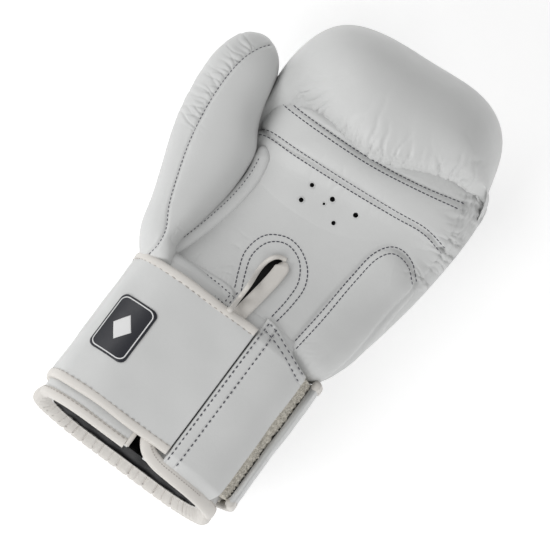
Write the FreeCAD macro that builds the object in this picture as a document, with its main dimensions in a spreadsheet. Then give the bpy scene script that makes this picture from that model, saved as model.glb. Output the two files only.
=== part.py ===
"""Boxing glove for the left hand, lying on its back with the palm side up.

Parametric FreeCAD document in millimetres.  The glove is first laid out with X across the palm
(thumb at -X, little finger at +X), Y from the wrist opening to the knuckles and Z up, and every
sub-part is then placed so that the middle of the glove's footprint is the origin.

Stitched, bound and tape-like pieces are PartDesign bodies.  The stuffed pieces (mitt, thumb and
their leather, foam and lining) are lofts through ovals, which neither a body nor a primitive
gives, so they are Part features that read their sizes from the sheet.
"""
import FreeCAD
import Part
import math
import os

Vector = FreeCAD.Vector
Placement = FreeCAD.Placement
Rotation = FreeCAD.Rotation

DIMENSIONS = {
    # footprint centre in the layout frame
    "centre_across": -0.69,
    "centre_along": 151.19,
    # sheet materials
    "leather_thick": 2.0,
    "lining_thick": 1.2,
    "cover_thick": 1.5,
    # cuff: a rounded slab tube, local frame at its hand end, opening towards -Y
    "cuff_x": -6.1,
    "cuff_y": 118.0,
    "cuff_z": 51.0,
    "cuff_lean": 5.65,
    "cuff_tilt": 1.5,
    "cuff_half_width": 62.5,
    "cuff_half_height": 41.0,
    "cuff_corner": 36.0,
    "cuff_length": 107.0,
    "cuff_foam_thick": 9.0,
    "rim_depth": 11.5,
    "rim_thick": 4.0,
    "rim_drop": 6.9,
    # wrist slit, off centre on the palm side
    "slit_left": 3.0,
    "slit_right": 11.0,
    "slit_reach": 42.0,
    "slit_binding_width": 3.0,
    # strap that wraps the cuff
    "strap_width": 94.0,
    "strap_near_edge": 5.0,
    "strap_gap": 2.6,
    "strap_thick": 4.0,
    "strap_binding_width": 6.0,
    "strap_root": 21.0,
    "joint_gap": 0.4,
    "hook_thick": 1.0,
    "loop_thick": 1.2,
    "loop_width": 88.0,
    "label_width": 24.0,
    "label_height": 38.0,
    "label_thick": 1.0,
    "label_turn": 25.0,
    "label_middle": 53.0,
    # knuckle hinge between the hand and the finger part
    "knuckle_y": 203.0,
    "knuckle_z": 10.0,
    "close_notch": 7.0,
    "open_notch": 13.5,
    "knuckle_gap": 0.4,
    # finger part
    "finger_left": -51.0,
    "finger_right": 97.0,
    "finger_mid_z": 55.0,
    "grip_y": 231.0,
    "grip_z": 76.5,
    "grip_radius": 7.0,
    "band_gap": 0.05,
    # thumb
    "thumb_pivot_x": -50.0,
    "thumb_pivot_y": 133.0,
    # room for the thumb is cut this wide, three degrees more than it swings
    "thumb_swing": 8.0,
    "thumb_gap": 1.2,
    "thumb_seam_x": -77.0,
    # palm details
    "heel_x": 61.0,
    "heel_y": 158.0,
    "heel_half_width": 24.0,
    "heel_half_length": 38.0,
    "heel_rise": 3.5,
    "gusset_width": 10.0,
    "gusset_rise": 4.0,
    "vent_radius": 1.6,
}

OVAL_POWER = 2.5
OVAL_POINTS = 20

# Layout frame stations of the stuffed pieces: (y, left x, right x, low z, high z)
HAND_STATIONS = (
    (135.0, -62.0, 70.0, 5.0, 88.0),
    (160.0, -57.0, 81.0, 1.6, 83.0),
    (185.0, -53.0, 89.0, 0.3, 82.0),
    (205.0, -51.0, 94.0, 0.2, 84.0),
    (218.0, -51.0, 96.0, 0.2, 87.0),
)
HAND_CAVITY_STATIONS = (
    (140.0, -40.0, 56.0, 27.0, 72.0),
    (160.0, -36.0, 66.0, 31.0, 69.0),
    (185.0, -36.0, 74.0, 34.0, 67.0),
    (218.0, -37.0, 81.0, 36.0, 66.0),
)
FINGER_POCKET_STATIONS = (
    (196.0, -37.0, 80.0, 36.0, 64.0),
    (225.0, -37.0, 82.0, 37.0, 66.0),
    (250.0, -35.0, 80.0, 42.0, 72.0),
    (270.0, -28.0, 72.0, 52.0, 82.0),
    (279.0, -12.0, 58.0, 62.0, 79.0),
)
THUMB_STATIONS = (
    (131.0, -74.0, -50.0, 54.0, 84.0),
    (150.0, -81.0, -47.5, 47.0, 91.0),
    (180.0, -89.0, -49.0, 45.0, 95.0),
    (212.0, -95.5, -52.5, 46.0, 96.0),
    (240.0, -97.0, -53.0, 48.0, 95.0),
    (257.0, -92.5, -57.0, 53.0, 91.0),
    (266.0, -84.0, -65.0, 61.0, 83.0),
)
THUMB_CAVITY_STATIONS = (
    (131.0, -70.0, -56.0, 59.0, 79.0),
    (165.0, -79.0, -57.0, 58.0, 82.0),
    (210.0, -86.0, -62.0, 59.0, 83.0),
    (240.0, -85.0, -65.0, 61.0, 81.0),
    (250.0, -80.0, -70.0, 66.0, 76.0),
)
# Side view (y, z) of the finger part, from the back of the hand round the knuckles to the palm
FINGER_PROFILE = (
    (190.0, 0.2),
    (225.0, 0.2),
    (250.0, 3.0),
    (275.0, 12.5),
    (295.0, 32.0),
    (305.5, 58.0),
    (308.0, 86.0),
    (302.0, 111.0),
    (288.0, 130.0),
    (269.0, 138.0),
    (251.0, 133.0),
    (240.5, 120.0),
    (241.5, 108.0),
    (238.0, 100.0),
    (227.0, 95.0),
    (212.0, 86.0),
    (190.0, 83.0),
)
FINGER_SPREAD = (-0.985, -0.9, -0.68, -0.35, 0.0, 0.35, 0.68, 0.9, 0.985)
FINGER_HEIGHT_POWER = 2.6
FINGER_LENGTH_POWER = 4.0
VENT_HOLES = ((-3.0, 208.0), (12.0, 207.0), (29.0, 206.0), (9.0, 201.0), (-4.0, 196.0), (20.0, 194.0))
GUSSET_LINE = ((-44.0, 200.5), (-36.0, 196.0), (-33.0, 180.0), (-36.0, 163.0), (-40.0, 149.0))
STRAP_TURNS = (0.0, 50.0, 105.0, 160.0, 215.0, 290.0)

doc = FreeCAD.newDocument("BoxingGlove")
sheet = doc.addObject("Spreadsheet::Sheet", "dims")
nodes = []


def fill_sheet():
    """Writes every driving dimension into the sheet, one aliased cell each."""
    for row, (alias, value) in enumerate(DIMENSIONS.items(), start=1):
        sheet.set("A%d" % row, alias.replace("_", " "))
        sheet.set("B%d" % row, str(value))
        sheet.setAlias("B%d" % row, alias)
    doc.recompute()


def size(alias):
    """The number in the sheet's cell of that alias."""
    return float(getattr(sheet, alias))


def to_origin():
    """Moves the layout frame so that the footprint's centre is the origin."""
    return Placement(Vector(-size("centre_across"), -size("centre_along"), 0), Rotation())


def cuff_frame():
    """Frame of the cuff: Y along its axis, leaning to -X and dipping towards the opening."""
    base = Vector(size("cuff_x"), size("cuff_y"), size("cuff_z"))
    lean = Rotation(Vector(0, 0, 1), -size("cuff_lean"))
    tilt = Rotation(Vector(1, 0, 0), size("cuff_tilt"))
    return Placement(base, lean.multiply(tilt))


def add_solid(label, shape):
    """Keeps a lofted or cut shape as a sub-part of its own."""
    node = doc.addObject("Part::Feature", label)
    node.Label = label
    node.Shape = shape
    node.Placement = to_origin()
    nodes.append(node)
    return node


# --- ovals and lofts -------------------------------------------------------------------------

def oval_points(left, right, low, high, y):
    """Points of a superellipse in the plane of that y."""
    across, up = (right - left) / 2, (high - low) / 2
    points = []
    for step in range(OVAL_POINTS):
        angle = 2 * math.pi * step / OVAL_POINTS
        c, s = math.cos(angle), math.sin(angle)
        x = (left + right) / 2 + across * math.copysign(abs(c) ** (2 / OVAL_POWER), c)
        z = (low + high) / 2 + up * math.copysign(abs(s) ** (2 / OVAL_POWER), s)
        points.append(Vector(x, y, z))
    return points


def closed_spline(points):
    """Closed smooth wire through the points."""
    curve = Part.BSplineCurve()
    curve.interpolate(points, PeriodicFlag=True)
    return Part.Wire([curve.toShape()])


def cuff_oval(half_width, half_height, y):
    """Oval at a distance y along the cuff's own axis."""
    frame = cuff_frame()
    flat = oval_points(-half_width, half_width, -half_height, half_height, y)
    return closed_spline([frame.multVec(point) for point in flat])


def oval_loft(stations, inset=0.0, reach=0.0, first=None):
    """Solid through oval stations, shrunk by inset on every side and longer by reach at its ends."""
    wires = [] if first is None else [first]
    last = len(stations) - 1
    for number, (y, left, right, low, high) in enumerate(stations):
        if number == 0 and first is None:
            y -= reach
        if number == last:
            y += reach
        oval = oval_points(left + inset, right - inset, low + inset, high - inset, y)
        wires.append(closed_spline(oval))
    return Part.makeLoft(wires, True, False)


def half_space_box(x_min, x_max, y_min, y_max, z_min, z_max):
    """Plain block between two corners."""
    return Part.makeBox(x_max - x_min, y_max - y_min, z_max - z_min, Vector(x_min, y_min, z_min))


def hand_solid(inset=0.0, reach=0.0):
    """The stuffed hand part from the cuff to the knuckle hinge, shrunk by inset."""
    start = cuff_oval(size("cuff_half_width") - inset, size("cuff_half_height") - inset,
                      size("joint_gap") - reach)
    whole = oval_loft(HAND_STATIONS, inset, 0.0, start)
    return whole.common(hand_side_of_knuckle())


def hand_cavity(inset=0.0):
    """Room for the hand between the back pad and the palm pad."""
    wall = size("leather_thick") + size("cuff_foam_thick")
    start = cuff_oval(size("cuff_half_width") - wall - inset, size("cuff_half_height") - wall - inset,
                      -size("joint_gap"))
    return oval_loft(HAND_CAVITY_STATIONS, inset, 0.0, start)


def side_prism(outline):
    """Prism across the whole glove from a (y, z) outline."""
    points = [Vector(-200, y, z) for y, z in outline]
    face = Part.Face(Part.makePolygon(points + points[:1]))
    return face.extrude(Vector(400, 0, 0))


def hand_side_of_knuckle():
    """Everything on the wrist side of the knuckle hinge."""
    edge = size("knuckle_y") - size("knuckle_gap")
    return half_space_box(-200, 200, -50, edge, -50, 200)


def finger_side_of_knuckle():
    """Everything beyond the hinge, with the notches that closing and opening take up."""
    edge, low, high, far = size("knuckle_y") + size("knuckle_gap"), -30.0, 180.0, 400.0
    closing = math.tan(math.radians(size("close_notch")))
    opening = math.tan(math.radians(size("open_notch")))
    return side_prism((
        (edge, size("knuckle_z")),
        (edge + closing * (high - size("knuckle_z")), high),
        (far, high),
        (far, low),
        (edge + opening * (size("knuckle_z") - low), low),
    ))


def finger_profile(inset):
    """The side view moved inwards by inset, square to its own run."""
    moved = []
    last = len(FINGER_PROFILE) - 1
    for number, (y, z) in enumerate(FINGER_PROFILE):
        before = FINGER_PROFILE[max(number - 1, 0)]
        after = FINGER_PROFILE[min(number + 1, last)]
        run, rise = after[0] - before[0], after[1] - before[1]
        length = math.hypot(run, rise)
        moved.append((y - inset * rise / length, z + inset * run / length))
    return moved


def finger_solid(inset=0.0):
    """The curled finger part, lofted across the glove and rounded off at both flanks."""
    left, right = size("finger_left") + inset, size("finger_right") - inset
    root, middle = size("knuckle_y"), size("finger_mid_z")
    profile = finger_profile(inset)
    wires = []
    for spread in FINGER_SPREAD:
        x = (left + right) / 2 + spread * (right - left) / 2
        tall = (1 - abs(spread) ** FINGER_HEIGHT_POWER) ** (1 / FINGER_HEIGHT_POWER)
        long = (1 - abs(spread) ** FINGER_LENGTH_POWER) ** (1 / FINGER_LENGTH_POWER)
        points = [Vector(x, root + (y - root) * long, middle + (z - middle) * tall)
                  for y, z in profile]
        curve = Part.BSplineCurve()
        curve.interpolate(points)
        wires.append(Part.Wire([curve.toShape(), Part.makeLine(points[-1], points[0])]))
    return Part.makeLoft(wires, True, False).common(finger_side_of_knuckle())


def thumb_solid(inset=0.0, reach=0.0):
    """The stuffed thumb, shrunk by inset."""
    return oval_loft(THUMB_STATIONS, inset, reach)


def clear_of_thumb(shape):
    """The shape less the space that the thumb needs over its whole swing, with a little air."""
    pivot = Vector(size("thumb_pivot_x"), size("thumb_pivot_y"), 0)
    for share in (0.0, 0.5, 1.0):
        room = thumb_solid(-size("thumb_gap"), size("thumb_gap"))
        room.rotate(pivot, Vector(0, 0, 1), share * size("thumb_swing"))
        shape = shape.cut(room)
    return shape


def slit_column(width_more=0.0):
    """Upright slot over the wrist slit, with a round end towards the palm."""
    frame = cuff_frame()
    half = (size("slit_right") - size("slit_left")) / 2 + width_more
    middle = (size("slit_right") + size("slit_left")) / 2
    bar = Part.makeBox(2 * half, size("slit_reach") + 20, 80, Vector(middle - half, -20, 5))
    tip = Part.makeCylinder(half, 80, Vector(middle, size("slit_reach"), 5))
    column = bar.fuse(tip)
    column.Placement = frame
    return column


def oval_column(x, y, half_width, half_length):
    """Upright oval column, for patches cut out of the palm's surface."""
    curve = Part.Ellipse(Vector(x, y + half_length, 0), Vector(x + half_width, y, 0), Vector(x, y, 0))
    face = Part.Face(Part.Wire([curve.toShape()]))
    return face.extrude(Vector(0, 0, 200))


def band_column(line, width):
    """Upright band of that width along a smooth plan line."""
    sides = ([], [])
    last = len(line) - 1
    for number, (x, y) in enumerate(line):
        before, after = line[max(number - 1, 0)], line[min(number + 1, last)]
        run, rise = after[0] - before[0], after[1] - before[1]
        length = math.hypot(run, rise)
        for side, sign in zip(sides, (0.5, -0.5)):
            side.append(Vector(x - sign * width * rise / length, y + sign * width * run / length, 0))
    edges = []
    for side in sides:
        curve = Part.BSplineCurve()
        curve.interpolate(side)
        edges.append(curve.toShape())
    ends = [Part.makeLine(sides[0][0], sides[1][0]), Part.makeLine(sides[0][-1], sides[1][-1])]
    wire = Part.Wire(Part.__sortEdges__(edges + ends))
    return Part.Face(wire).extrude(Vector(0, 0, 200))


# --- hand ------------------------------------------------------------------------------------

def palm_half(z):
    """Everything above that height."""
    return half_space_box(-200, 200, -50, 400, z, 250)


def back_half(z):
    """Everything below that height."""
    return half_space_box(-200, 200, -50, 400, -50, z)


def build_hand():
    """Leather, foam pads and lining of the hand part, cut open for the thumb and the wrist slit."""
    leather, lining = size("leather_thick"), size("lining_thick")
    cavity = hand_cavity()
    inner = hand_solid(leather, 5.0)
    skin = clear_of_thumb(hand_solid().cut(inner))
    seam_z = 62.0
    slit = slit_column(size("slit_binding_width"))
    palm = skin.common(palm_half(seam_z)).cut(slit)
    for x, y in VENT_HOLES:
        palm = palm.cut(Part.makeCylinder(size("vent_radius"), 60, Vector(x, y - 8, 60)))
    add_solid("hand_palm_leather", palm)
    add_solid("hand_back_leather", skin.common(back_half(seam_z)))
    stuffing = clear_of_thumb(inner.common(hand_solid()).cut(cavity))
    middle_z = 49.0
    palm_pad = stuffing.common(palm_half(middle_z)).cut(slit_column())
    add_solid("hand_palm_pad", palm_pad)
    add_solid("hand_back_pad", stuffing.common(back_half(middle_z)))
    tube = cavity.cut(hand_cavity_inside(lining)).common(hand_solid(leather))
    add_solid("hand_lining", tube.cut(slit_column()))
    binding = hand_solid(-1.0).cut(inner).common(slit).cut(slit_column())
    add_solid("slit_binding_palm", binding)


def hand_cavity_inside(inset):
    """The cavity shrunk by the lining, open at both of its ends."""
    wall = size("leather_thick") + size("cuff_foam_thick") + inset
    start = cuff_oval(size("cuff_half_width") - wall, size("cuff_half_height") - wall, -3.0)
    return oval_loft(HAND_CAVITY_STATIONS, inset, 2.0, start)


def build_heel_pad():
    """Raised oval cushion on the heel of the hand, foam under a leather cover."""
    column = oval_column(size("heel_x"), size("heel_y"), size("heel_half_width"), size("heel_half_length"))
    column = column.common(palm_half(60.0))
    foam = hand_solid(-size("heel_rise")).cut(hand_solid()).common(column)
    cover = hand_solid(-size("heel_rise") - size("cover_thick")).cut(hand_solid(-size("heel_rise")))
    add_solid("heel_pad_foam", foam)
    add_solid("heel_pad_cover", cover.common(column))


def build_gusset():
    """Rolled leather strip on the palm beside the thumb."""
    column = band_column(GUSSET_LINE, size("gusset_width")).common(palm_half(62.0))
    roll = hand_solid(-size("gusset_rise")).cut(hand_solid()).common(column)
    add_solid("thumb_gusset", clear_of_thumb(roll))


# --- fingers ---------------------------------------------------------------------------------

def build_fingers():
    """Curled knuckle and finger pad with its leather, pocket lining and grip bar."""
    leather, lining = size("leather_thick"), size("lining_thick")
    inner = finger_solid(leather)
    skin = finger_solid().cut(inner)
    seam_z = 60.0
    add_solid("finger_back_leather", skin.common(back_half(seam_z)))
    add_solid("fingertip_leather", skin.common(palm_half(seam_z)))
    keep = finger_side_of_knuckle()
    pocket = oval_loft(FINGER_POCKET_STATIONS)
    bar_from, bar_to = size("finger_left") + 21, size("finger_right") - 21
    start = Vector(bar_from, size("grip_y"), size("grip_z"))
    bar = Part.makeCylinder(size("grip_radius"), bar_to - bar_from, start, Vector(1, 0, 0))
    add_solid("finger_pad", inner.cut(pocket).cut(bar))
    add_solid("grip_bar", bar)
    tube = pocket.cut(oval_loft(FINGER_POCKET_STATIONS, lining, -lining))
    add_solid("finger_lining", tube.common(keep))
    window = half_space_box(-44, 84, 222, 240, 88, 103)
    band = finger_solid(-size("cover_thick")).common(window)
    add_solid("grip_band", band.cut(finger_solid(-size("band_gap"))))


# --- thumb -----------------------------------------------------------------------------------

def build_thumb():
    """Stuffed thumb: outer and inner leather panels, foam and a pocket lining."""
    leather, lining = size("leather_thick"), size("lining_thick")
    skin = thumb_solid().cut(thumb_open_inside(leather))
    seam_x = size("thumb_seam_x")
    outside = half_space_box(-200, seam_x, 0, 400, 0, 200)
    add_solid("thumb_outer_leather", skin.common(outside))
    add_solid("thumb_inner_leather", skin.cut(outside))
    pocket = oval_loft(THUMB_CAVITY_STATIONS)
    stuffing = thumb_open_inside(leather).common(thumb_solid())
    add_solid("thumb_pad", stuffing.cut(pocket))
    add_solid("thumb_lining", pocket.cut(thumb_cavity_inside(lining)))


def thumb_open_inside(inset):
    """The thumb shrunk by inset, longer at its root so that the skin stays open there."""
    root = THUMB_STATIONS[0]
    longer = ((root[0] - 4.0,) + root[1:],) + THUMB_STATIONS[1:-1]
    tip = THUMB_STATIONS[-1]
    return oval_loft(longer + ((tip[0] - inset,) + tip[1:],), inset)


def thumb_cavity_inside(inset):
    """The thumb pocket shrunk by its lining and open at its root."""
    root, tip = THUMB_CAVITY_STATIONS[0], THUMB_CAVITY_STATIONS[-1]
    longer = ((root[0] - 3.0,) + root[1:],) + THUMB_CAVITY_STATIONS[1:-1]
    return oval_loft(longer + ((tip[0] - inset,) + tip[1:],), inset)


# --- ribbons round the cuff ------------------------------------------------------------------

def cuff_path():
    """Outline of the cuff from the right end of its palm side towards -X, once round and over the
    palm side again: ("line", start, direction, length) and ("arc", centre, start angle, sweep)
    pieces, angles in degrees."""
    radius = size("cuff_corner")
    flat_x = size("cuff_half_width") - radius
    flat_z = size("cuff_half_height") - radius
    top = size("cuff_half_height")
    side = size("cuff_half_width")
    return (
        ("line", (flat_x, top), (-1.0, 0.0), 2 * flat_x),
        ("arc", (-flat_x, flat_z), 90.0, 90.0),
        ("line", (-side, flat_z), (0.0, -1.0), 2 * flat_z),
        ("arc", (-flat_x, -flat_z), 180.0, 90.0),
        ("line", (-flat_x, -top), (1.0, 0.0), 2 * flat_x),
        ("arc", (flat_x, -flat_z), 270.0, 90.0),
        ("line", (side, -flat_z), (0.0, 1.0), 2 * flat_z),
        ("arc", (flat_x, flat_z), 0.0, 90.0),
        ("line", (flat_x, top), (-1.0, 0.0), 2 * flat_x),
    )


def piece_length(piece):
    """Length of one path piece on the cuff's outline."""
    if piece[0] == "line":
        return piece[3]
    return math.radians(piece[3]) * size("cuff_corner")


def length_at_turn(turn):
    """Path length at which the outline has turned by so many degrees; on a flat, its middle."""
    travelled = 0.0
    turned = 0.0
    for piece in cuff_path():
        if piece[0] == "arc":
            if turn < turned + 90.0:
                return travelled + math.radians(turn - turned) * size("cuff_corner")
            turned += 90.0
        elif turn <= turned and turned > 0:
            return travelled + piece[3] / 2
        travelled += piece_length(piece)
    return travelled


def ribbon_outline(start, stop, inner, outer):
    """Closed outline of a ribbon that follows the cuff between two path lengths and two heights."""
    outline = []
    ends = []
    travelled = 0.0
    for piece in cuff_path():
        length = piece_length(piece)
        low, high = max(start - travelled, 0.0), min(stop - travelled, length)
        travelled += length
        if high - low < 1e-6:
            continue
        for height in (inner, outer):
            outline.append(path_stretch(piece, low, high, height))
        ends.append((piece, low, high))
    for piece, along in ((ends[0][0], ends[0][1]), (ends[-1][0], ends[-1][2])):
        corners = [path_point(piece, along, height) for height in (inner, outer)]
        outline.append(Part.LineSegment(corners[0], corners[1]))
    return outline


def path_point(piece, along, height):
    """Point at a length along one path piece and a height above the cuff."""
    if piece[0] == "line":
        (x, z), (dx, dz) = piece[1], piece[2]
        return Vector(x + dx * along + dz * height, z + dz * along - dx * height, 0)
    angle = math.radians(piece[2]) + along / size("cuff_corner")
    reach = size("cuff_corner") + height
    return Vector(piece[1][0] + reach * math.cos(angle), piece[1][1] + reach * math.sin(angle), 0)


def path_stretch(piece, low, high, height):
    """Line or arc of the ribbon's edge within one path piece."""
    if piece[0] == "line":
        return Part.LineSegment(path_point(piece, low, height), path_point(piece, high, height))
    circle = Part.Circle(Vector(piece[1][0], piece[1][1], 0), Vector(0, 0, 1),
                         size("cuff_corner") + height)
    first = math.radians(piece[2]) + low / size("cuff_corner")
    return Part.ArcOfCircle(circle, first, first + (high - low) / size("cuff_corner"))


def origin_plane(body, role):
    """One of the body's own origin planes."""
    return next(plane for plane in body.Origin.OriginFeatures if plane.Role == role)


def add_ribbon(label, span, heights, near, length):
    """PartDesign body of a ribbon round the cuff: its outline padded along the cuff's axis.

    near is the distance of its hand-side edge from the cuff's end, length an expression.
    """
    body = doc.addObject("PartDesign::Body", label)
    body.Label = label
    sketch = body.newObject("Sketcher::SketchObject", label + "_outline")
    sketch.AttachmentSupport = (origin_plane(body, "XZ_Plane"), [""])
    sketch.MapMode = "FlatFace"
    sketch.addGeometry(ribbon_outline(span[0], span[1], heights[0], heights[1]), False)
    pad = body.newObject("PartDesign::Pad", label + "_solid")
    pad.Profile = sketch
    pad.setExpression("Length", length)
    body.Placement = to_origin().multiply(cuff_frame()).multiply(
        Placement(Vector(0, -near, 0), Rotation()))
    nodes.append(body)
    return body


def start_length(x):
    """Path length of a point on the palm side, counted at the path's start."""
    return size("cuff_half_width") - size("cuff_corner") - x


def end_length(x):
    """Path length of the same point, counted after once round the cuff."""
    round_once = sum(piece_length(piece) for piece in cuff_path()[:-1])
    return round_once + start_length(x)


# --- cuff ------------------------------------------------------------------------------------

def build_cuff():
    """Leather, foam and lining of the cuff, open at the wrist slit, and the slit's bound edges."""
    leather, foam = size("leather_thick"), size("cuff_foam_thick")
    lining, edge = size("lining_thick"), size("slit_binding_width")
    first, last = start_length(size("slit_left") - edge), end_length(size("slit_right") + edge)
    layers = (
        ("cuff_leather", -leather, 0.0),
        ("cuff_foam", -leather - foam, -leather),
        ("cuff_lining", -leather - foam - lining, -leather - foam),
    )
    for label, inner, outer in layers:
        add_ribbon(label, (first, last), (inner, outer), 0.0, "dims.cuff_length")
    full = (-leather - foam, 1.0)
    add_ribbon("slit_binding_thumb_side", (first - edge, first), full, 0.0, "dims.cuff_length")
    add_ribbon("slit_binding_finger_side", (last, last + edge), full, 0.0, "dims.cuff_length")
    add_ribbon("rim_binding", (first - edge, last + edge), full, size("cuff_length"),
               "dims.slit_binding_width")


def build_cuff_trim():
    """Side panel over the strap's sewn end, seam band and loop tape."""
    band = size("cover_thick")
    low = size("strap_gap")
    high = low + size("strap_thick")
    near = size("strap_near_edge")
    sewn = end_length(size("strap_root") + size("joint_gap"))
    add_ribbon("strap_anchor", (length_at_turn(315.0), sewn), (low, high), near, "dims.strap_width")
    add_ribbon("strap_anchor_filler", (length_at_turn(330.0), sewn - 5.0), (0.0, low), near,
               "dims.strap_width")
    add_ribbon("cuff_side_panel", (length_at_turn(300.0), sewn), (high, high + band), near - 3.0,
               "dims.strap_width + 6")
    add_ribbon("cuff_seam_band", (start_length(size("slit_left") - 4.0), length_at_turn(70.0)),
               (0.0, band), 0.5, "dims.strap_near_edge - 2")
    add_ribbon("loop_panel", (length_at_turn(205.0), length_at_turn(296.0)),
               (0.0, size("loop_thick")), near + 3.0, "dims.loop_width")


def build_rim():
    """Gathered leather skirt round the back of the wrist opening, flared down to the ground."""
    start = size("cuff_length") + size("slit_binding_width") + 0.2
    stop = size("cuff_length") + size("rim_depth")
    half_width, half_height = size("cuff_half_width"), size("cuff_half_height")
    drop, thick = size("rim_drop"), size("rim_thick")
    outer = Part.makeLoft([cuff_oval(half_width, half_height, -start),
                           cuff_oval(half_width + 1.5, half_height + drop, -stop)], True, False)
    inner = Part.makeLoft([cuff_oval(half_width - thick, half_height - thick, -start + 1.0),
                           cuff_oval(half_width + 1.5 - thick, half_height + drop - thick, -stop - 1.0)],
                          True, False)
    add_solid("rim_gather", outer.cut(inner).common(back_half(52.0)))


# --- strap -----------------------------------------------------------------------------------

def build_strap():
    """Hook-and-loop strap in five stretches, each a web with a bound edge on either side."""
    low, high = size("strap_gap"), size("strap_gap") + size("strap_thick")
    gap, edge = size("joint_gap"), size("strap_binding_width")
    near = size("strap_near_edge")
    far = near + size("strap_width") - edge
    for number in range(1, len(STRAP_TURNS)):
        first = length_at_turn(STRAP_TURNS[number - 1]) + gap / 2
        if number == 1:
            first = start_length(size("strap_root"))
        last = length_at_turn(STRAP_TURNS[number]) - gap / 2
        add_ribbon("strap_web_%d" % number, (first, last), (low, high), near + edge,
                   "dims.strap_width - 2 * dims.strap_binding_width")
        add_ribbon("strap_edge_hand_%d" % number, (first, last), (low, high), near,
                   "dims.strap_binding_width")
        add_ribbon("strap_edge_wrist_%d" % number, (first, last), (low, high), far,
                   "dims.strap_binding_width")
    hook = (length_at_turn(240.0), length_at_turn(288.0))
    add_ribbon("hook_patch", hook, (low - size("hook_thick"), low), near + 6.0,
               "dims.loop_width - 6")
    middle = length_at_turn(size("label_turn"))
    label = (middle - size("label_width") / 2, middle + size("label_width") / 2)
    add_ribbon("label_patch", label, (high, high + size("label_thick")),
               size("label_middle") - size("label_height") / 2, "dims.label_height")


fill_sheet()
build_hand()
build_heel_pad()
build_gusset()
build_fingers()
build_thumb()
build_cuff()
build_cuff_trim()
build_rim()
build_strap()
doc.recompute()
for item in doc.Objects:
    if "Invalid" in item.State or "Error" in item.State:
        raise RuntimeError("%s did not rebuild: %s" % (item.Name, item.State))
os.makedirs("parts", exist_ok=True)
for node in nodes:
    if node.Shape.isNull() or not node.Shape.isValid():
        raise RuntimeError("%s has no valid shape" % node.Label)
    node.Shape.exportStep("parts/%s.step" % node.Label)
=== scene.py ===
"""Boxing glove for the left hand, dressed: leather skins, gathers, seams, stitches and bindings.

Everything is laid out in millimetres in the maker's layout: X across the palm (thumb at -X), Y from
the wrist opening to the knuckles, Z up out of the palm, with the glove on its back on the ground.
Seams and gathers are marked on a cutting plane that leans ten degrees towards the wrist, and are
then brought straight down onto the leather.
"""
import logging
import math
from dataclasses import dataclass, field
from enum import Enum
from typing import Optional, Sequence

import bpy
import numpy as np
from mathutils import Matrix, Vector
from mathutils.bvhtree import BVHTree


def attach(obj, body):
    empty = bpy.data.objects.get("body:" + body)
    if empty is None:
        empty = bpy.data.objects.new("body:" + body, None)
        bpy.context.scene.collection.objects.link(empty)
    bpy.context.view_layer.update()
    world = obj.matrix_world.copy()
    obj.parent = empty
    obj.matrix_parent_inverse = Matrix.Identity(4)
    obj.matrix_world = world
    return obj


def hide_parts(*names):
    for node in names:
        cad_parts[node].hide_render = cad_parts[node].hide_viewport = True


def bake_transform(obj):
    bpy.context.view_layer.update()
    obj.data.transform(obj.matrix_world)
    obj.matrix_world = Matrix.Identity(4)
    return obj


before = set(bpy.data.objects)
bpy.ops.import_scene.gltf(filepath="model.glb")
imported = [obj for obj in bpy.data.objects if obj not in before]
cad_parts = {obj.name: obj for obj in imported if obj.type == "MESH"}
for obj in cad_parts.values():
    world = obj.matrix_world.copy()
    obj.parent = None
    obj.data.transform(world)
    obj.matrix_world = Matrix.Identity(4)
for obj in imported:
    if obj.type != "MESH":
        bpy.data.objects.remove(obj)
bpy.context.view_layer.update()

log = logging.getLogger("glove")
Array = np.ndarray

CENTRE = np.array([-0.69, 151.19, 0.0])
PLANE_UP = np.array([0.0, -0.1736, 0.9848])
PLANE_ALONG = np.array([0.0, 0.9848, 0.1736])
PLANE_LEVEL = 8.0


# --- layout and curves -----------------------------------------------------------------------

def to_row(points: Array) -> Array:
    """Layout millimetres to metres about the footprint's centre."""
    return (np.asarray(points, float) - CENTRE) / 1000.0


def on_plane(points: Array) -> Array:
    """Cutting-plane coordinates (across, along) of layout points."""
    lowered = points - np.array([0.0, 0.0, PLANE_LEVEL])
    return np.stack([points[..., 0], lowered @ PLANE_ALONG], axis=-1)


def off_plane(marks: Array, height: float) -> Array:
    """Layout points straight above cutting-plane marks.

    Args:
        marks: cutting-plane marks, across and along.
        height: millimetres above the plane.

    Returns:
        Layout points.
    """
    marks = np.asarray(marks, float)
    base = np.zeros(marks.shape[:-1] + (3,))
    base[..., 0] = marks[..., 0]
    base += marks[..., 1:2] * PLANE_ALONG + height * PLANE_UP
    base[..., 2] += PLANE_LEVEL
    return base


def at_level(marks: Array, levels: Array) -> Array:
    """Layout points over cutting-plane marks at the given heights Z above the ground."""
    rise = (levels - PLANE_LEVEL - marks[..., 1] * PLANE_ALONG[2]) / PLANE_UP[2]
    return off_plane(marks, 0.0) + rise[..., None] * PLANE_UP


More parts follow.
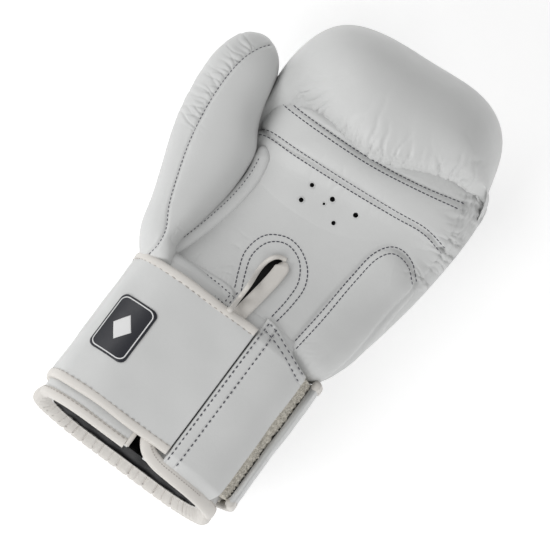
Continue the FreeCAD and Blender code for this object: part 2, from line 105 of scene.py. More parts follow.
def smooth_line(points: Sequence, count: int, closed: bool = False, measured: int = 3) -> Array:
    """A smooth curve through the rows, as cubic Hermite pieces with centripetal knots.

    Args:
        points: rows to pass through; extra columns are carried along.
        count: how many rows to return, evenly spaced by length.
        closed: whether the curve returns to its first row.
        measured: how many columns count as position when length is measured.

    Returns:
        An array of count rows.
    """
    rows = np.asarray(points, float)
    if closed:
        rows = np.vstack([rows[-2:], rows, rows[:3]])
    gaps = np.linalg.norm(np.diff(rows[:, :measured], axis=0), axis=1)
    knots = np.concatenate([[0.0], np.cumsum(np.sqrt(np.maximum(gaps, 1e-9)))])
    slopes = np.gradient(rows, knots, axis=0)
    first, last = (knots[2], knots[-3]) if closed else (knots[0], knots[-1])

    def at(t: Array) -> Array:
        """Curve rows at knot values t."""
        k = np.clip(np.searchsorted(knots, t, side="right") - 1, 0, len(knots) - 2)
        h = (knots[k + 1] - knots[k])[:, None]
        u = ((t - knots[k])[:, None]) / h
        a = (2 * u**3 - 3 * u**2 + 1) * rows[k] + (u**3 - 2 * u**2 + u) * h * slopes[k]
        return a + (3 * u**2 - 2 * u**3) * rows[k + 1] + (u**3 - u**2) * h * slopes[k + 1]

    fine = np.linspace(first, last, max(40 * len(rows), 400))
    dense = at(fine)
    steps = np.linalg.norm(np.diff(dense[:, :measured], axis=0), axis=1)
    length = np.concatenate([[0.0], np.cumsum(steps)])
    wanted = np.linspace(0.0, length[-1], count + 1)[:-1] if closed else np.linspace(0.0, length[-1], count)
    return at(np.interp(wanted, length, fine))


def line_length(line: Array) -> float:
    """Length of a polyline."""
    return float(np.linalg.norm(np.diff(line, axis=0), axis=1).sum())


@dataclass
class Nearest:
    """For each mark: its distance to a line, the length along the line and the side (+1 left)."""

    distance: Array
    along: Array
    side: Array


def nearest(marks: Array, line: Array) -> Nearest:
    """Distance of each mark to a polyline, by projecting it on every stretch.

    Args:
        marks: cutting-plane marks, across and along.
        line: rows of the polyline.

    Returns:
        Distance, length along the line and side for each mark.
    """
    flat = marks.reshape(-1, 2)
    starts, runs = line[:-1], np.diff(line, axis=0)
    spans = np.linalg.norm(runs, axis=1)
    begin = np.concatenate([[0.0], np.cumsum(spans)[:-1]])
    best = np.full(len(flat), 1e9)
    along = np.zeros(len(flat))
    side = np.zeros(len(flat))
    for start, run, span, before in zip(starts, runs, spans, begin):
        unit = run / max(span, 1e-9)
        offset = flat - start
        travel = np.clip(offset @ unit, 0.0, span)
        gap = offset - travel[:, None] * unit
        distance = np.hypot(gap[:, 0], gap[:, 1])
        closer = distance < best
        best = np.where(closer, distance, best)
        along = np.where(closer, before + travel, along)
        turned = unit[0] * offset[:, 1] - unit[1] * offset[:, 0]
        side = np.where(closer, np.sign(turned), side)
    shape = marks.shape[:-1]
    return Nearest(best.reshape(shape), along.reshape(shape), side.reshape(shape))


def inside(marks: Array, outline: Array) -> Array:
    """Which marks lie inside a closed outline, by counting crossings.

    Args:
        marks: cutting-plane marks, across and along.
        outline: corners of the closed outline.

    Returns:
        True for the marks inside.
    """
    x, y = marks[..., 0], marks[..., 1]
    within = np.zeros(x.shape, bool)
    ends = np.roll(outline, -1, axis=0)
    for (x0, y0), (x1, y1) in zip(outline, ends):
        if y0 == y1:
            continue
        crosses = (y0 > y) != (y1 > y)
        within ^= crosses & (x < (x1 - x0) * (y - y0) / (y1 - y0) + x0)
    return within


def smooth_step(value: Array, low: float, high: float) -> Array:
    """0 below low, 1 above high, and an even turn between them."""
    t = np.clip((value - low) / (high - low), 0.0, 1.0)
    return t * t * (3 - 2 * t)


def normals_of(grid: Array) -> Array:
    """Unit normals of a grid of points, square to both of its directions.

    Args:
        grid: grid of layout points.

    Returns:
        A grid of unit vectors.
    """
    normal = np.cross(np.gradient(grid, axis=0), np.gradient(grid, axis=1))
    length = np.linalg.norm(normal, axis=-1, keepdims=True)
    return normal / np.maximum(length, 1e-12)


# --- relief worked into the leather ----------------------------------------------------------

@dataclass(frozen=True)
class Gathers:
    """Short folds that start at a gathered seam and die away from it.

    Each fold is a narrow crease between two soft shoulders; it wanders sideways as it leaves the
    seam.
    """

    line: Sequence
    reach: float
    depth: float
    pitch: float
    seed: int
    side: int = 0
    fade: float = 12.0

    def height(self, marks: Array) -> Array:
        """Height of the folds at the marks, in millimetres.

        Args:
            marks: cutting-plane marks, across and along.

        Returns:
            Millimetres, one for each mark.
        """
        line = smooth_line(self.line, 90, measured=2)
        found = nearest(marks, line)
        total = line_length(line)
        near = found.distance < 1.7 * self.reach
        if self.side:
            near &= found.side == self.side
        result = np.zeros(marks.shape[:-1])
        if not near.any():
            return result
        d, a = found.distance[near], found.along[near]
        rng = np.random.default_rng(self.seed)
        number = max(int(total / self.pitch), 2)
        middles = (np.arange(number) + rng.uniform(0.1, 0.9, number)) * total / number
        lean = rng.normal(0.0, 0.28, number)
        length = self.reach * rng.uniform(0.3, 1.05, number)
        width = self.pitch * rng.uniform(0.24, 0.46, number)
        strength = rng.uniform(0.35, 1.0, number)
        folds = np.zeros(len(d))
        for k in range(number):
            spread = width[k] * (1 + 0.9 * d / self.reach)
            away = np.abs(a - middles[k] - lean[k] * d + 0.6 * np.sin(d / 2.3 + 9.0 * lean[k]))
            crease = np.exp(-away / (0.42 * spread)) - 0.45 * np.exp(-((away / (1.5 * spread)) ** 2))
            folds -= strength[k] * crease * np.exp(-((d / length[k]) ** 2))
        folds = folds * smooth_step(d, -0.6, 1.6)
        ends = smooth_step(a, 0.0, self.fade) * smooth_step(total - a, 0.0, self.fade)
        result[near] = self.depth * folds * ends
        return result


@dataclass(frozen=True)
class Seam:
    """A narrow furrow where two panels meet."""

    line: Sequence
    depth: float
    width: float

    def height(self, marks: Array) -> Array:
        """Depth of the furrow at the marks, in millimetres (negative is inwards).

        Args:
            marks: cutting-plane marks, across and along.

        Returns:
            Millimetres, one for each mark.
        """
        line = smooth_line(self.line, 80, measured=2)
        d = nearest(marks, line).distance
        return -self.depth * np.exp(-((d / self.width) ** 2))


@dataclass(frozen=True)
class Cushion:
    """A raised padded area inside a closed outline, rounded off towards its edge."""

    outline: Sequence
    rise: float
    shoulder: float

    def height(self, marks: Array) -> Array:
        """Rise of the padding at the marks, in millimetres.

        Args:
            marks: cutting-plane marks, across and along.

        Returns:
            Millimetres, one for each mark.
        """
        ring = smooth_line(self.outline, 120, closed=True, measured=2)
        d = nearest(marks, np.vstack([ring, ring[:1]])).distance
        return np.where(inside(marks, ring), self.rise * (1 - np.exp(-d / self.shoulder)), 0.0)


@dataclass(frozen=True)
class Waves:
    """Low uneven swellings all over, as a sum of a few wandering sine waves."""

    depth: float
    length: float
    seed: int

    def height(self, points: Array) -> Array:
        """Height at layout points.

        Args:
            points: layout points.

        Returns:
            Millimetres, one for each point.
        """
        rng = np.random.default_rng(self.seed)
        total = np.zeros(points.shape[:-1])
        for _ in range(9):
            direction = rng.normal(size=3)
            direction /= np.linalg.norm(direction)
            scale = self.length * rng.uniform(0.6, 1.6)
            total += np.sin(2 * math.pi * (points @ direction) / scale + rng.uniform(0, 6.28))
        return self.depth * total / 3.0


# --- finishes --------------------------------------------------------------------------------

class Shade(Enum):
    """Leather and trim colours, linear red, green and blue."""

    SHELL = (0.60, 0.605, 0.60)
    TRIM = (0.66, 0.635, 0.60)
    THREAD = (0.035, 0.035, 0.055)
    PALE_THREAD = (0.42, 0.39, 0.36)
    LINING = (0.006, 0.006, 0.007)
    PILE = (0.62, 0.59, 0.52)
    PATCH = (0.010, 0.011, 0.017)
    PATCH_EDGE = (0.72, 0.72, 0.72)


class NodeBook:
    """Short calls for building a node material."""

    def __init__(self, name: str) -> None:
        """Makes an empty material with a principled shader and an output.

        Args:
            name: name of the material.
        """
        self.material = bpy.data.materials.new(name)
        self.material.use_nodes = True
        self.tree = self.material.node_tree
        self.tree.nodes.clear()
        self.shader = self.node("ShaderNodeBsdfPrincipled")
        output = self.node("ShaderNodeOutputMaterial")
        self.link(self.shader.outputs["BSDF"], output.inputs["Surface"])
        self.where = self.node("ShaderNodeTexCoord").outputs["Object"]

    def node(self, kind: str, **settings: object) -> bpy.types.Node:
        """One new node with attributes or inputs set.

        Args:
            kind: the node's type.
            **settings: attributes or input values by name.

        Returns:
            The node.
        """
        made = self.tree.nodes.new(kind)
        for key, value in settings.items():
            if hasattr(made, key):
                setattr(made, key, value)
            else:
                made.inputs[key.replace("_", " ")].default_value = value
        return made

    def link(self, source: bpy.types.NodeSocket, target: bpy.types.NodeSocket) -> None:
        """Joins two sockets."""
        self.tree.links.new(source, target)

    def noise(self, scale: float, detail: float = 3.0, roughness: float = 0.5) -> bpy.types.NodeSocket:
        """A noise field on object coordinates.

        Args:
            scale: how fine the pattern is.
            detail: octaves of noise.
            roughness: weight of the fine octaves.

        Returns:
            The field, 0 to 1.
        """
        made = self.node("ShaderNodeTexNoise", Scale=scale, Detail=detail, Roughness=roughness)
        self.link(self.where, made.inputs["Vector"])
        return made.outputs["Fac"]

    def cells(self, scale: float) -> bpy.types.NodeSocket:
        """Distance to the nearest cell edge, the pebble of a grain.

        Args:
            scale: how fine the pattern is.

        Returns:
            The distance field.
        """
        made = self.node("ShaderNodeTexVoronoi", Scale=scale)
        made.feature = "DISTANCE_TO_EDGE"
        self.link(self.where, made.inputs["Vector"])
        return made.outputs["Distance"]

    def ramp(self, value: bpy.types.NodeSocket, low: float, high: float,
             colours: tuple[Sequence[float], Sequence[float]]) -> bpy.types.NodeSocket:
        """A colour that turns from one to another between two values.

        Args:
            value: the field that steers the colour.
            low: value of the first colour.
            high: value of the second colour.
            colours: the two colours.

        Returns:
            The colour.
        """
        made = self.node("ShaderNodeValToRGB")
        self.link(value, made.inputs["Fac"])
        for element, place, colour in zip(made.color_ramp.elements, (low, high), colours):
            element.position = place
            element.color = (*colour, 1.0)
        return made.outputs["Color"]

    def bump(self, height: bpy.types.NodeSocket, strength: float, distance: float,
             under: Optional[bpy.types.NodeSocket] = None) -> bpy.types.NodeSocket:
        """A bump from a height field, over another bump if one is given.

        Args:
            height: millimetres above the plane.
            strength: how strong the bump is.
            distance: depth of the bump in metres.
            under: a bump that lies below this one.

        Returns:
            The bent normal.
        """
        made = self.node("ShaderNodeBump", Strength=strength, Distance=distance)
        self.link(height, made.inputs["Height"])
        if under is not None:
            self.link(under, made.inputs["Normal"])
        return made.outputs["Normal"]


def shaded(colour: Sequence[float], share: float) -> tuple[float, ...]:
    """A colour made lighter or darker."""
    return tuple(min(max(c * share, 0.0), 1.0) for c in colour)


@dataclass(frozen=True)
class Leather:
    """Coated leather: fine pebble grain, faint clouding, soft gloss."""

    name: str
    shade: Shade
    roughness: float = 0.46
    grain: float = 1500.0
    relief: float = 0.16
    clouding: float = 0.03

    def material(self) -> bpy.types.Material:
        """Builds the node material.

        Returns:
            The material.
        """
        book = NodeBook(self.name)
        colour = self.shade.value
        cloud = book.noise(14.0, 4.0, 0.6)
        tint = book.ramp(cloud, 0.3, 0.7,
                         (shaded(colour, 1 - self.clouding), shaded(colour, 1 + self.clouding)))
        book.link(tint, book.shader.inputs["Base Color"])
        gloss = book.node("ShaderNodeMapRange", From_Min=0.3, From_Max=0.7,
                          To_Min=self.roughness - 0.05, To_Max=self.roughness + 0.06)
        book.link(book.noise(90.0, 2.0), gloss.inputs["Value"])
        book.link(gloss.outputs["Result"], book.shader.inputs["Roughness"])
        coarse = book.bump(book.noise(420.0, 3.0, 0.6), self.relief * 0.8, 0.0006)
        fine = book.bump(book.cells(self.grain), self.relief, 0.00025, coarse)
        book.link(fine, book.shader.inputs["Normal"])
        book.shader.inputs["Specular IOR Level"].default_value = 0.45
        book.shader.inputs["Coat Weight"].default_value = 0.05
        book.shader.inputs["Coat Roughness"].default_value = 0.35
        return book.material


@dataclass(frozen=True)
class Cloth:
    """Cloth, thread or pile: a fibre field that breaks up colour and relief."""

    name: str
    shade: Shade
    roughness: float = 0.8
    fibre: float = 900.0
    relief: float = 0.4
    variation: float = 0.15
    sheen: float = 0.2

    def material(self) -> bpy.types.Material:
        """Builds the node material.

        Returns:
            The material.
        """
        book = NodeBook(self.name)
        colour = self.shade.value
        fibre = book.noise(self.fibre, 4.0, 0.7)
        tint = book.ramp(fibre, 0.35, 0.65,
                         (shaded(colour, 1 - self.variation), shaded(colour, 1 + self.variation)))
        book.link(tint, book.shader.inputs["Base Color"])
        book.link(book.bump(fibre, self.relief, 0.0008), book.shader.inputs["Normal"])
        book.shader.inputs["Roughness"].default_value = self.roughness
        book.shader.inputs["Sheen Weight"].default_value = self.sheen
        return book.material


class Finishes:
    """Every finish of the glove, made once."""

    def __init__(self) -> None:
        """Builds the materials."""
        self.shell = Leather("shell_leather", Shade.SHELL).material()
        self.strap = Leather("strap_leather", Shade.SHELL, roughness=0.5, relief=0.12).material()
        self.trim = Leather("trim_leather", Shade.TRIM, roughness=0.55, grain=1900.0).material()
        self.patch = Leather("patch_rubber", Shade.PATCH, roughness=0.4, relief=0.05).material()
        self.patch_edge = Leather("patch_border", Shade.PATCH_EDGE, roughness=0.45, relief=0.05).material()
        self.thread = Cloth("dark_thread", Shade.THREAD, roughness=0.7, fibre=2600.0).material()
        self.pale_thread = Cloth("pale_thread", Shade.PALE_THREAD, roughness=0.7, fibre=2600.0).material()
        self.lining = Cloth("lining_satin", Shade.LINING, roughness=0.45, fibre=700.0, sheen=0.1).material()
        self.pile = Cloth("loop_pile", Shade.PILE, roughness=0.95, fibre=520.0, relief=0.9,
                          variation=0.3).material()


# --- meshes ----------------------------------------------------------------------------------

def grid_faces(rows: int, columns: int, close_rows: bool = False, close_columns: bool = False,
               keep: Optional[Array] = None) -> Array:
    """Quads of a grid of points, wrapped round where asked; keep marks the cells that stay.

    Args:
        rows: points along the first direction.
        columns: points along the second direction.
        close_rows: whether the rows wrap round.
        close_columns: whether the columns wrap round.
        keep: which cells stay.

    Returns:
        Vertex numbers, four for each face.
    """
    i = np.arange(rows if close_rows else rows - 1)
    j = np.arange(columns if close_columns else columns - 1)
    a, b = np.meshgrid(i, j, indexing="ij")
    a2, b2 = (a + 1) % rows, (b + 1) % columns
    quads = np.stack([a * columns + b, a2 * columns + b, a2 * columns + b2, a * columns + b2], axis=-1)
    return quads.reshape(-1, 4) if keep is None else quads[keep]


def add_piece(name: str, points: Array, faces: Array, finish: bpy.types.Material) -> bpy.types.Object:
    """A mesh object at the origin from layout points and faces (quads or triangles).

    Args:
        name: name of the piece.
        points: layout points.
        faces: vertex numbers of each face.
        finish: the material.

    Returns:
        The new object.
    """
    flat = to_row(points.reshape(-1, 3))
    used, renumbered = np.unique(faces, return_inverse=True)
    flat, faces = flat[used], renumbered.reshape(faces.shape)
    mesh = bpy.data.meshes.new(name)
    mesh.vertices.add(len(flat))
    mesh.vertices.foreach_set("co", flat.astype(np.float32).ravel())
    corners = faces.shape[1]
    mesh.loops.add(faces.size)
    mesh.loops.foreach_set("vertex_index", faces.astype(np.int32).ravel())
    mesh.polygons.add(len(faces))
    mesh.polygons.foreach_set("loop_start", (np.arange(len(faces)) * corners).astype(np.int32))
    mesh.polygons.foreach_set("loop_total", np.full(len(faces), corners, np.int32))
    mesh.update(calc_edges=True)
    mesh.validate()
    mesh.shade_smooth()
    mesh.materials.append(finish)
    made = bpy.data.objects.new(name, mesh)
    bpy.context.collection.objects.link(made)
    log.info("%s: %d faces", name, len(faces))
    return made


def ring_tube(path: Array, up: Array, half_width: float, half_height: float, around: int = 16,
              power: float = 2.0) -> Array:
    """Closed tube of an oval section carried along a path.

    Args:
        path: rows of the centre line.
        up: the section's height direction at each row.
        half_width: half size square to path and up.
        half_height: half size along up.
        around: points round the section.
        power: 2 is an ellipse, more is squarer.

    Returns:
        A grid of len(path) by around points.
    """
    along = np.gradient(path, axis=0)
    along /= np.linalg.norm(along, axis=1, keepdims=True)
    side = np.cross(along, up)
    side /= np.linalg.norm(side, axis=1, keepdims=True)
    lift = np.cross(side, along)
    angle = np.linspace(0, 2 * math.pi, around, endpoint=False)
    c = np.sign(np.cos(angle)) * np.abs(np.cos(angle)) ** (2 / power)
    s = np.sign(np.sin(angle)) * np.abs(np.sin(angle)) ** (2 / power)
    return (path[:, None] + half_width * c[None, :, None] * side[:, None]
            + half_height * s[None, :, None] * lift[:, None])


def tube_with_ends(grid: Array) -> tuple[Array, Array]:
    """Points and quads of a tube grid, with both ends drawn in to a closing point ring.

    Args:
        grid: grid of layout points.

    Returns:
        The points and the quads.
    """
    first, last = grid[0].mean(axis=0), grid[-1].mean(axis=0)
    head = first + (grid[0] - first) * 1e-3
    tail = last + (grid[-1] - last) * 1e-3
    full = np.concatenate([head[None], grid, tail[None]])
    return full, grid_faces(len(full), grid.shape[1], close_columns=True)


def turned_out(points: Array, faces: Array, middle: Array) -> Array:
    """Faces wound so that they point away from a middle point (the sign of the enclosed volume).

    Args:
        points: points of the piece.
        faces: vertex numbers of each face.
        middle: a point the faces look away from.

    Returns:
        The faces, turned round if need be.
    """
    p = points.reshape(-1, 3) - middle
    a, b, c = p[faces[:, 0]], p[faces[:, 1]], p[faces[:, 2]]
    volume = np.einsum("ij,ij->i", a, np.cross(b, c)).sum()
    return faces if volume > 0 else faces[:, ::-1]


def add_grid(name: str, grid: Array, finish: bpy.types.Material, middle: Optional[Array] = None,
             close_columns: bool = False, keep: Optional[Array] = None) -> bpy.types.Object:
    """A piece from a grid of layout points, facing away from middle (its own mean by default).

    Args:
        name: name of the piece.
        grid: grid of layout points.
        finish: the material.
        middle: a point the faces look away from.
        close_columns: whether the columns wrap round.
        keep: which cells stay.

    Returns:
        The new object.
    """
    faces = grid_faces(grid.shape[0], grid.shape[1], close_columns=close_columns, keep=keep)
    centre = grid.reshape(-1, 3).mean(axis=0) if middle is None else np.asarray(middle, float)
    return add_piece(name, grid, turned_out(grid, faces, centre), finish)


def add_tube(name: str, grid: Array, finish: bpy.types.Material) -> bpy.types.Object:
    """A piece from a tube grid with its ends closed."""
    full, faces = tube_with_ends(grid)
    return add_piece(name, full, turned_out(full, faces, full.reshape(-1, 3).mean(axis=0)), finish)


class Ground:
    """The finished leather that stitches and trims are laid on."""

    def __init__(self, pieces: Sequence[bpy.types.Object]) -> None:
        """Collects the pieces' faces into one searchable surface.

        Args:
            pieces: the finished pieces.
        """
        points, faces, before = [], [], 0
        for piece in pieces:
            mesh = piece.data
            co = np.zeros(len(mesh.vertices) * 3, np.float32)
            mesh.vertices.foreach_get("co", co)
            loops = np.zeros(len(mesh.loops), np.int32)
            mesh.loops.foreach_get("vertex_index", loops)
            points.append(co.reshape(-1, 3))
            faces.append(loops.reshape(len(mesh.polygons), -1) + before)
            before += len(mesh.vertices)
        whole = np.vstack(points) * 1000.0 + CENTRE
        self.tree = BVHTree.FromPolygons(whole.tolist(), np.vstack(faces).tolist())

    def under(self, marks: Array, lift: float = 0.0) -> tuple[Array, Array]:
        """Points and normals of the leather straight under cutting-plane marks.

        Args:
            marks: cutting-plane marks, across and along.
            lift: millimetres above the leather.

        Returns:
            Points and unit normals.
        """
        above = off_plane(marks, 260.0)
        found, normals = [], []
        for start in above:
            place, normal, _, _ = self.tree.ray_cast(Vector(start), Vector(-PLANE_UP))
            found.append(start - 180.0 * PLANE_UP if place is None else np.array(place))
            normals.append(PLANE_UP if normal is None else np.array(normal))
        found, normals = np.array(found), np.array(normals)
        facing = np.sign(normals @ PLANE_UP)
        normals *= np.where(facing == 0, 1.0, facing)[:, None]
        return found + lift * normals, normals


def stitch_grid(points: Array, normals: Array, radius: float, gap: float) -> tuple[Array, Array]:
    """Stitches along a row of points: one low arched capsule between each pair.

    Along a stitch u runs from -1 to 1: its thickness is the square root of 1 - u^4 and it rises by
    1 - u^2, so that it dives into the leather at both holes.

    Args:
        points: stitch ends on the leather.
        normals: the leather's normals there.
        radius: half thickness of the thread.
        gap: share of the pitch left between stitches.

    Returns:
        Points and quads of all stitches.
    """
    start, run = points[:-1], np.diff(points, axis=0)
    up = normals[:-1] + normals[1:]
    up /= np.linalg.norm(up, axis=1, keepdims=True)
    side = np.cross(run, up)
    side /= np.maximum(np.linalg.norm(side, axis=1, keepdims=True), 1e-9)
    u = np.array([-1.0, -0.8, -0.3, 0.3, 0.8, 1.0])
    angle = np.linspace(0, 2 * math.pi, 6, endpoint=False)
    thick = radius * np.sqrt(np.maximum(1 - u**4, 2e-3))
    rise = radius * (0.9 * (1 - u**2) - 0.45)
    place = gap / 2 + (u + 1) / 2 * (1 - gap)
    middle = start[:, None] + run[:, None] * place[None, :, None] + up[:, None] * rise[None, :, None]
    ring = (np.cos(angle)[None, None, :, None] * side[:, None, None]
            + np.sin(angle)[None, None, :, None] * up[:, None, None])
    grid = middle[:, :, None] + thick[None, :, None, None] * ring
    one = grid_faces(len(u), len(angle), close_columns=True)
    faces = one[None] + (np.arange(len(start)) * len(u) * len(angle))[:, None, None]
    return grid.reshape(-1, 3), faces.reshape(-1, 4)


@dataclass
class Sewing:
    """Collects runs of stitches and makes one piece for each thread and body."""

    runs: dict = field(default_factory=dict)

    def add(self, key: str, points: Array, normals: Array, radius: float = 0.34, gap: float = 0.3) -> None:
        """Adds a run of stitches between the given points on the leather."""
        self.runs.setdefault(key, []).append(stitch_grid(points, normals, radius, gap))

    def along(self, key: str, ground: Ground, marks: Sequence, pitch: float = 3.0, radius: float = 0.34,
              gap: float = 0.3, smooth: bool = True) -> None:
        """Adds a run that follows cutting-plane marks.

        Args:
            key: which run of stitches.
            ground: the leather that is sewn.
            marks: cutting-plane marks, across and along.
            pitch: length of one stitch.
            radius: half thickness of the thread.
            gap: share of the pitch left between stitches.
            smooth: whether the marks are rounded first.
        """
        rows = np.asarray(marks, float)
        line = smooth_line(rows, 200, measured=2) if smooth else rows
        count = max(int(line_length(line) / pitch), 2)
        even = smooth_line(rows, count + 1, measured=2)
        points, normals = ground.under(even)
        self.add(key, points, normals, radius, gap)

    def piece(self, key: str, name: str, finish: bpy.types.Material) -> bpy.types.Object:
        """Makes the mesh of all runs under a key.

        Args:
            key: which run of stitches.
            name: name of the piece.
            finish: the material.

        Returns:
            The new object.
        """
        points, faces, before = [], [], 0
        for run_points, run_faces in self.runs[key]:
            points.append(run_points)
            faces.append(run_faces + before)
            before += len(run_points)
        return add_piece(name, np.vstack(points), np.vstack(faces), finish)


# --- mitt ------------------------------------------------------------------------------------

@dataclass
class Mitt:
    """The stuffed mitt: knuckle and fingertip leather in one curl, and the palm under it.

    A side profile (y, z) is carried across the glove.  With t from -1 at the thumb's side to 1 at
    the little finger's, its height shrinks towards the middle line by (1 - |t|^2.6)^(1/2.6) and its
    length beyond the knuckles by (1 - |t|^4)^(1/4) (power 4.6 on the thumb's side), which rounds
    both flanks and the tip.
    """

    knuckle_y: float = 203.0
    height_power: float = 2.6
    length_power_left: float = 4.6
    length_power_right: float = 4.0
    # rows: y, z, left x, right x, middle z, bow of the rolled edge
    shell_rows: tuple = (
        (107.0, 20.0, -62.0, 56.0, 51.0, 0.0),
        (110.0, 12.0, -67.0, 63.0, 51.0, 0.0),
        (122.0, 8.0, -66.0, 69.5, 49.0, 0.0),
        (140.0, 4.5, -61.0, 76.5, 45.0, 0.0),
        (160.0, 2.0, -57.0, 82.5, 42.0, 0.0),
        (190.0, 0.6, -53.0, 90.0, 41.0, 0.0),
        (225.0, 0.5, -51.0, 96.0, 46.0, 0.0),
        (250.0, 3.5, -49.5, 97.5, 52.0, 0.0),
        (275.0, 13.0, -51.0, 97.0, 57.0, 0.0),
        (295.0, 32.0, -54.0, 96.0, 61.0, 0.0),
        (305.5, 58.0, -55.5, 95.0, 62.0, 0.0),
        (308.0, 86.0, -56.0, 94.0, 62.0, 0.0),
        (301.0, 112.0, -55.0, 94.0, 62.0, 0.0),
        (286.0, 130.0, -52.5, 94.5, 62.0, 0.05),
        (266.0, 137.5, -47.5, 95.5, 60.0, 0.25),
        (247.0, 135.5, -43.0, 96.0, 58.0, 0.65),
        (235.0, 129.0, -40.0, 96.5, 56.0, 1.0),
        (231.0, 119.5, -39.0, 96.5, 55.0, 1.0),
        (234.0, 110.0, -38.0, 96.5, 54.0, 0.9),
        (242.0, 103.0, -38.0, 96.5, 54.0, 0.6),
    )
    palm_rows: tuple = (
        (245.0, 102.5, -44.0, 85.0, 54.0, 0.8),
        (240.0, 102.5, -46.0, 88.0, 53.0, 0.5),
        (234.5, 101.0, -48.0, 92.0, 52.0, 0.0),
        (226.0, 99.5, -49.0, 95.0, 47.0, 0.0),
        (217.0, 96.0, -50.0, 95.5, 44.0, 0.0),
        (206.0, 88.0, -51.0, 93.5, 42.0, 0.0),
        (190.0, 83.5, -53.0, 90.0, 41.0, 0.0),
        (172.0, 82.0, -55.0, 85.5, 41.5, 0.0),
        (155.0, 83.5, -58.0, 81.0, 43.0, 0.0),
        (138.0, 87.0, -61.5, 76.0, 45.5, 0.0),
        (124.0, 90.0, -65.0, 71.0, 48.5, 0.0),
        (113.0, 90.5, -68.0, 66.0, 50.5, 0.0),
        (107.0, 84.0, -64.0, 58.0, 51.0, 0.0),
    )
    bow_right: float = 20.0
    bow_left: float = 19.0
    bow_start: float = -0.15
    lift_right: float = 11.0

    def surface(self, rows: tuple, long: int, across: int) -> Array:
        """Grid of the skin through the rows, before any relief.

        The palm's side edges are taken from the back's, so that the two skins meet.  Past the
        knuckles the little finger's edge of both skins is drawn in to the back's outline.

        Args:
            rows: the skin's profile rows.
            long: points along the profile.
            across: points across.

        Returns:
            Layout points, long by across.
        """
        line = smooth_line(rows, long, measured=2)
        back = smooth_line(self.shell_rows, 400, measured=2)
        back = back[:int(np.argmax(back[:, 0] > 250.0))]
        for column in (2, 3, 4) if rows is self.palm_rows else ():
            line[:, column] = np.interp(line[:, 0], back[:, 0], back[:, column])
        y, z, left, right, middle, bow = line.T[:, :, None]
        t = np.sin(np.linspace(-1, 1, across) * math.pi / 2)[None]
        tall = np.maximum(1 - np.abs(t) ** self.height_power, 0.0) ** (1 / self.height_power)
        power = np.where(t < 0, self.length_power_left, self.length_power_right)
        far = np.maximum(1 - np.abs(t) ** power, 0.0) ** (1 / power)
        spread = t - self.bow_start
        pull = np.where(spread > 0, self.bow_right, self.bow_left) * (1 - np.exp(-((spread / 0.55) ** 2)))
        pull = pull + self.lift_right * smooth_step(t, 0.72, 1.0)
        new_y = np.minimum(y, self.knuckle_y) + np.maximum(y - self.knuckle_y, 0.0) * far + bow * pull
        centre = (left + right) / 2
        beyond = (y > self.knuckle_y) & (t > 0)
        near_edge = np.where(beyond, smooth_step(t, 0.55, 1.0), 0.0)
        edge_x = np.interp(new_y, back[:, 0], back[:, 3])
        edge_z = np.interp(new_y, back[:, 0], back[:, 4])
        right = right + (np.minimum(edge_x, right) - right) * near_edge
        middle = middle + (edge_z - middle) * near_edge
        x = np.where(t > 0, centre + (right - centre) * t, centre + (centre - left) * t)
        return np.stack([x, new_y, middle + (z - middle) * tall], axis=-1)

    @staticmethod
    def away_from_edges(grid: Array) -> Array:
        """One over the skin, and nothing along its two side edges where back and palm meet."""
        t = np.abs(np.sin(np.linspace(-1, 1, grid.shape[1]) * math.pi / 2))[None]
        return 1 - smooth_step(t, 0.985, 0.9995)

    def rolled_edge(self) -> tuple:
        """Marks of the fingertip leather's gathered lower edge."""
        return ((-47.0, 264.0), (-35.0, 257.0), (-20.0, 251.0), (0.0, 248.5), (20.0, 249.5),
                (35.0, 252.0), (48.0, 256.0), (60.0, 260.5), (72.0, 262.0), (82.0, 256.0))

    def flank_seam(self) -> tuple:
        """Marks of the seam between palm and flank."""
        return ((82.0, 258.0), (84.5, 240.0), (86.5, 225.0), (86.5, 212.0), (84.0, 200.0),
                (78.0, 182.0), (74.0, 165.0), (70.0, 142.0), (64.0, 122.0), (58.0, 108.0))

    def shell_relief(self, grid: Array, facing: Array) -> Array:
        """Height of gathers and swellings on the knuckle and fingertip leather.

        Args:
            grid: grid of layout points.
            facing: how much each point's normal faces up, -1 to 1.

        Returns:
            Millimetres, one for each point.
        """
        marks = on_plane(grid)
        upper = smooth_step(facing, -0.25, 0.1)
        edge = Gathers(self.rolled_edge(), 13.0, 3.0, 4.2, 11).height(marks)
        edge += Gathers(self.rolled_edge(), 25.0, 1.6, 9.0, 12).height(marks)
        flank = self.flank_relief(marks)
        side = Gathers(((-57.0, 300.0), (-57.0, 282.0), (-50.0, 266.0), (-44.0, 258.0)), 12.0, 1.1, 5.0,
                       13).height(marks)
        lobe = smooth_step(grid[..., 2], 84.0, 108.0)
        folds = upper * (lobe * (edge + side) + (1 - lobe) * flank)
        return self.away_from_edges(grid) * (folds + Waves(0.35, 60.0, 5).height(grid))

    def flank_relief(self, marks: Array) -> Array:
        """Folds drawn out of the flank seam, strongest over the grip and gone at the heel.

        Args:
            marks: cutting-plane marks, across and along.

        Returns:
            Millimetres, one for each mark.
        """
        seam = ((86.0, 264.0), (88.0, 250.0), (89.5, 236.0), (89.5, 222.0), (88.0, 208.0), (84.0, 192.0))
        return (Gathers(seam, 13.0, 3.4, 4.6, 21, fade=6.0).height(marks)
                + Gathers(seam, 20.0, 2.0, 8.5, 22, fade=6.0).height(marks))

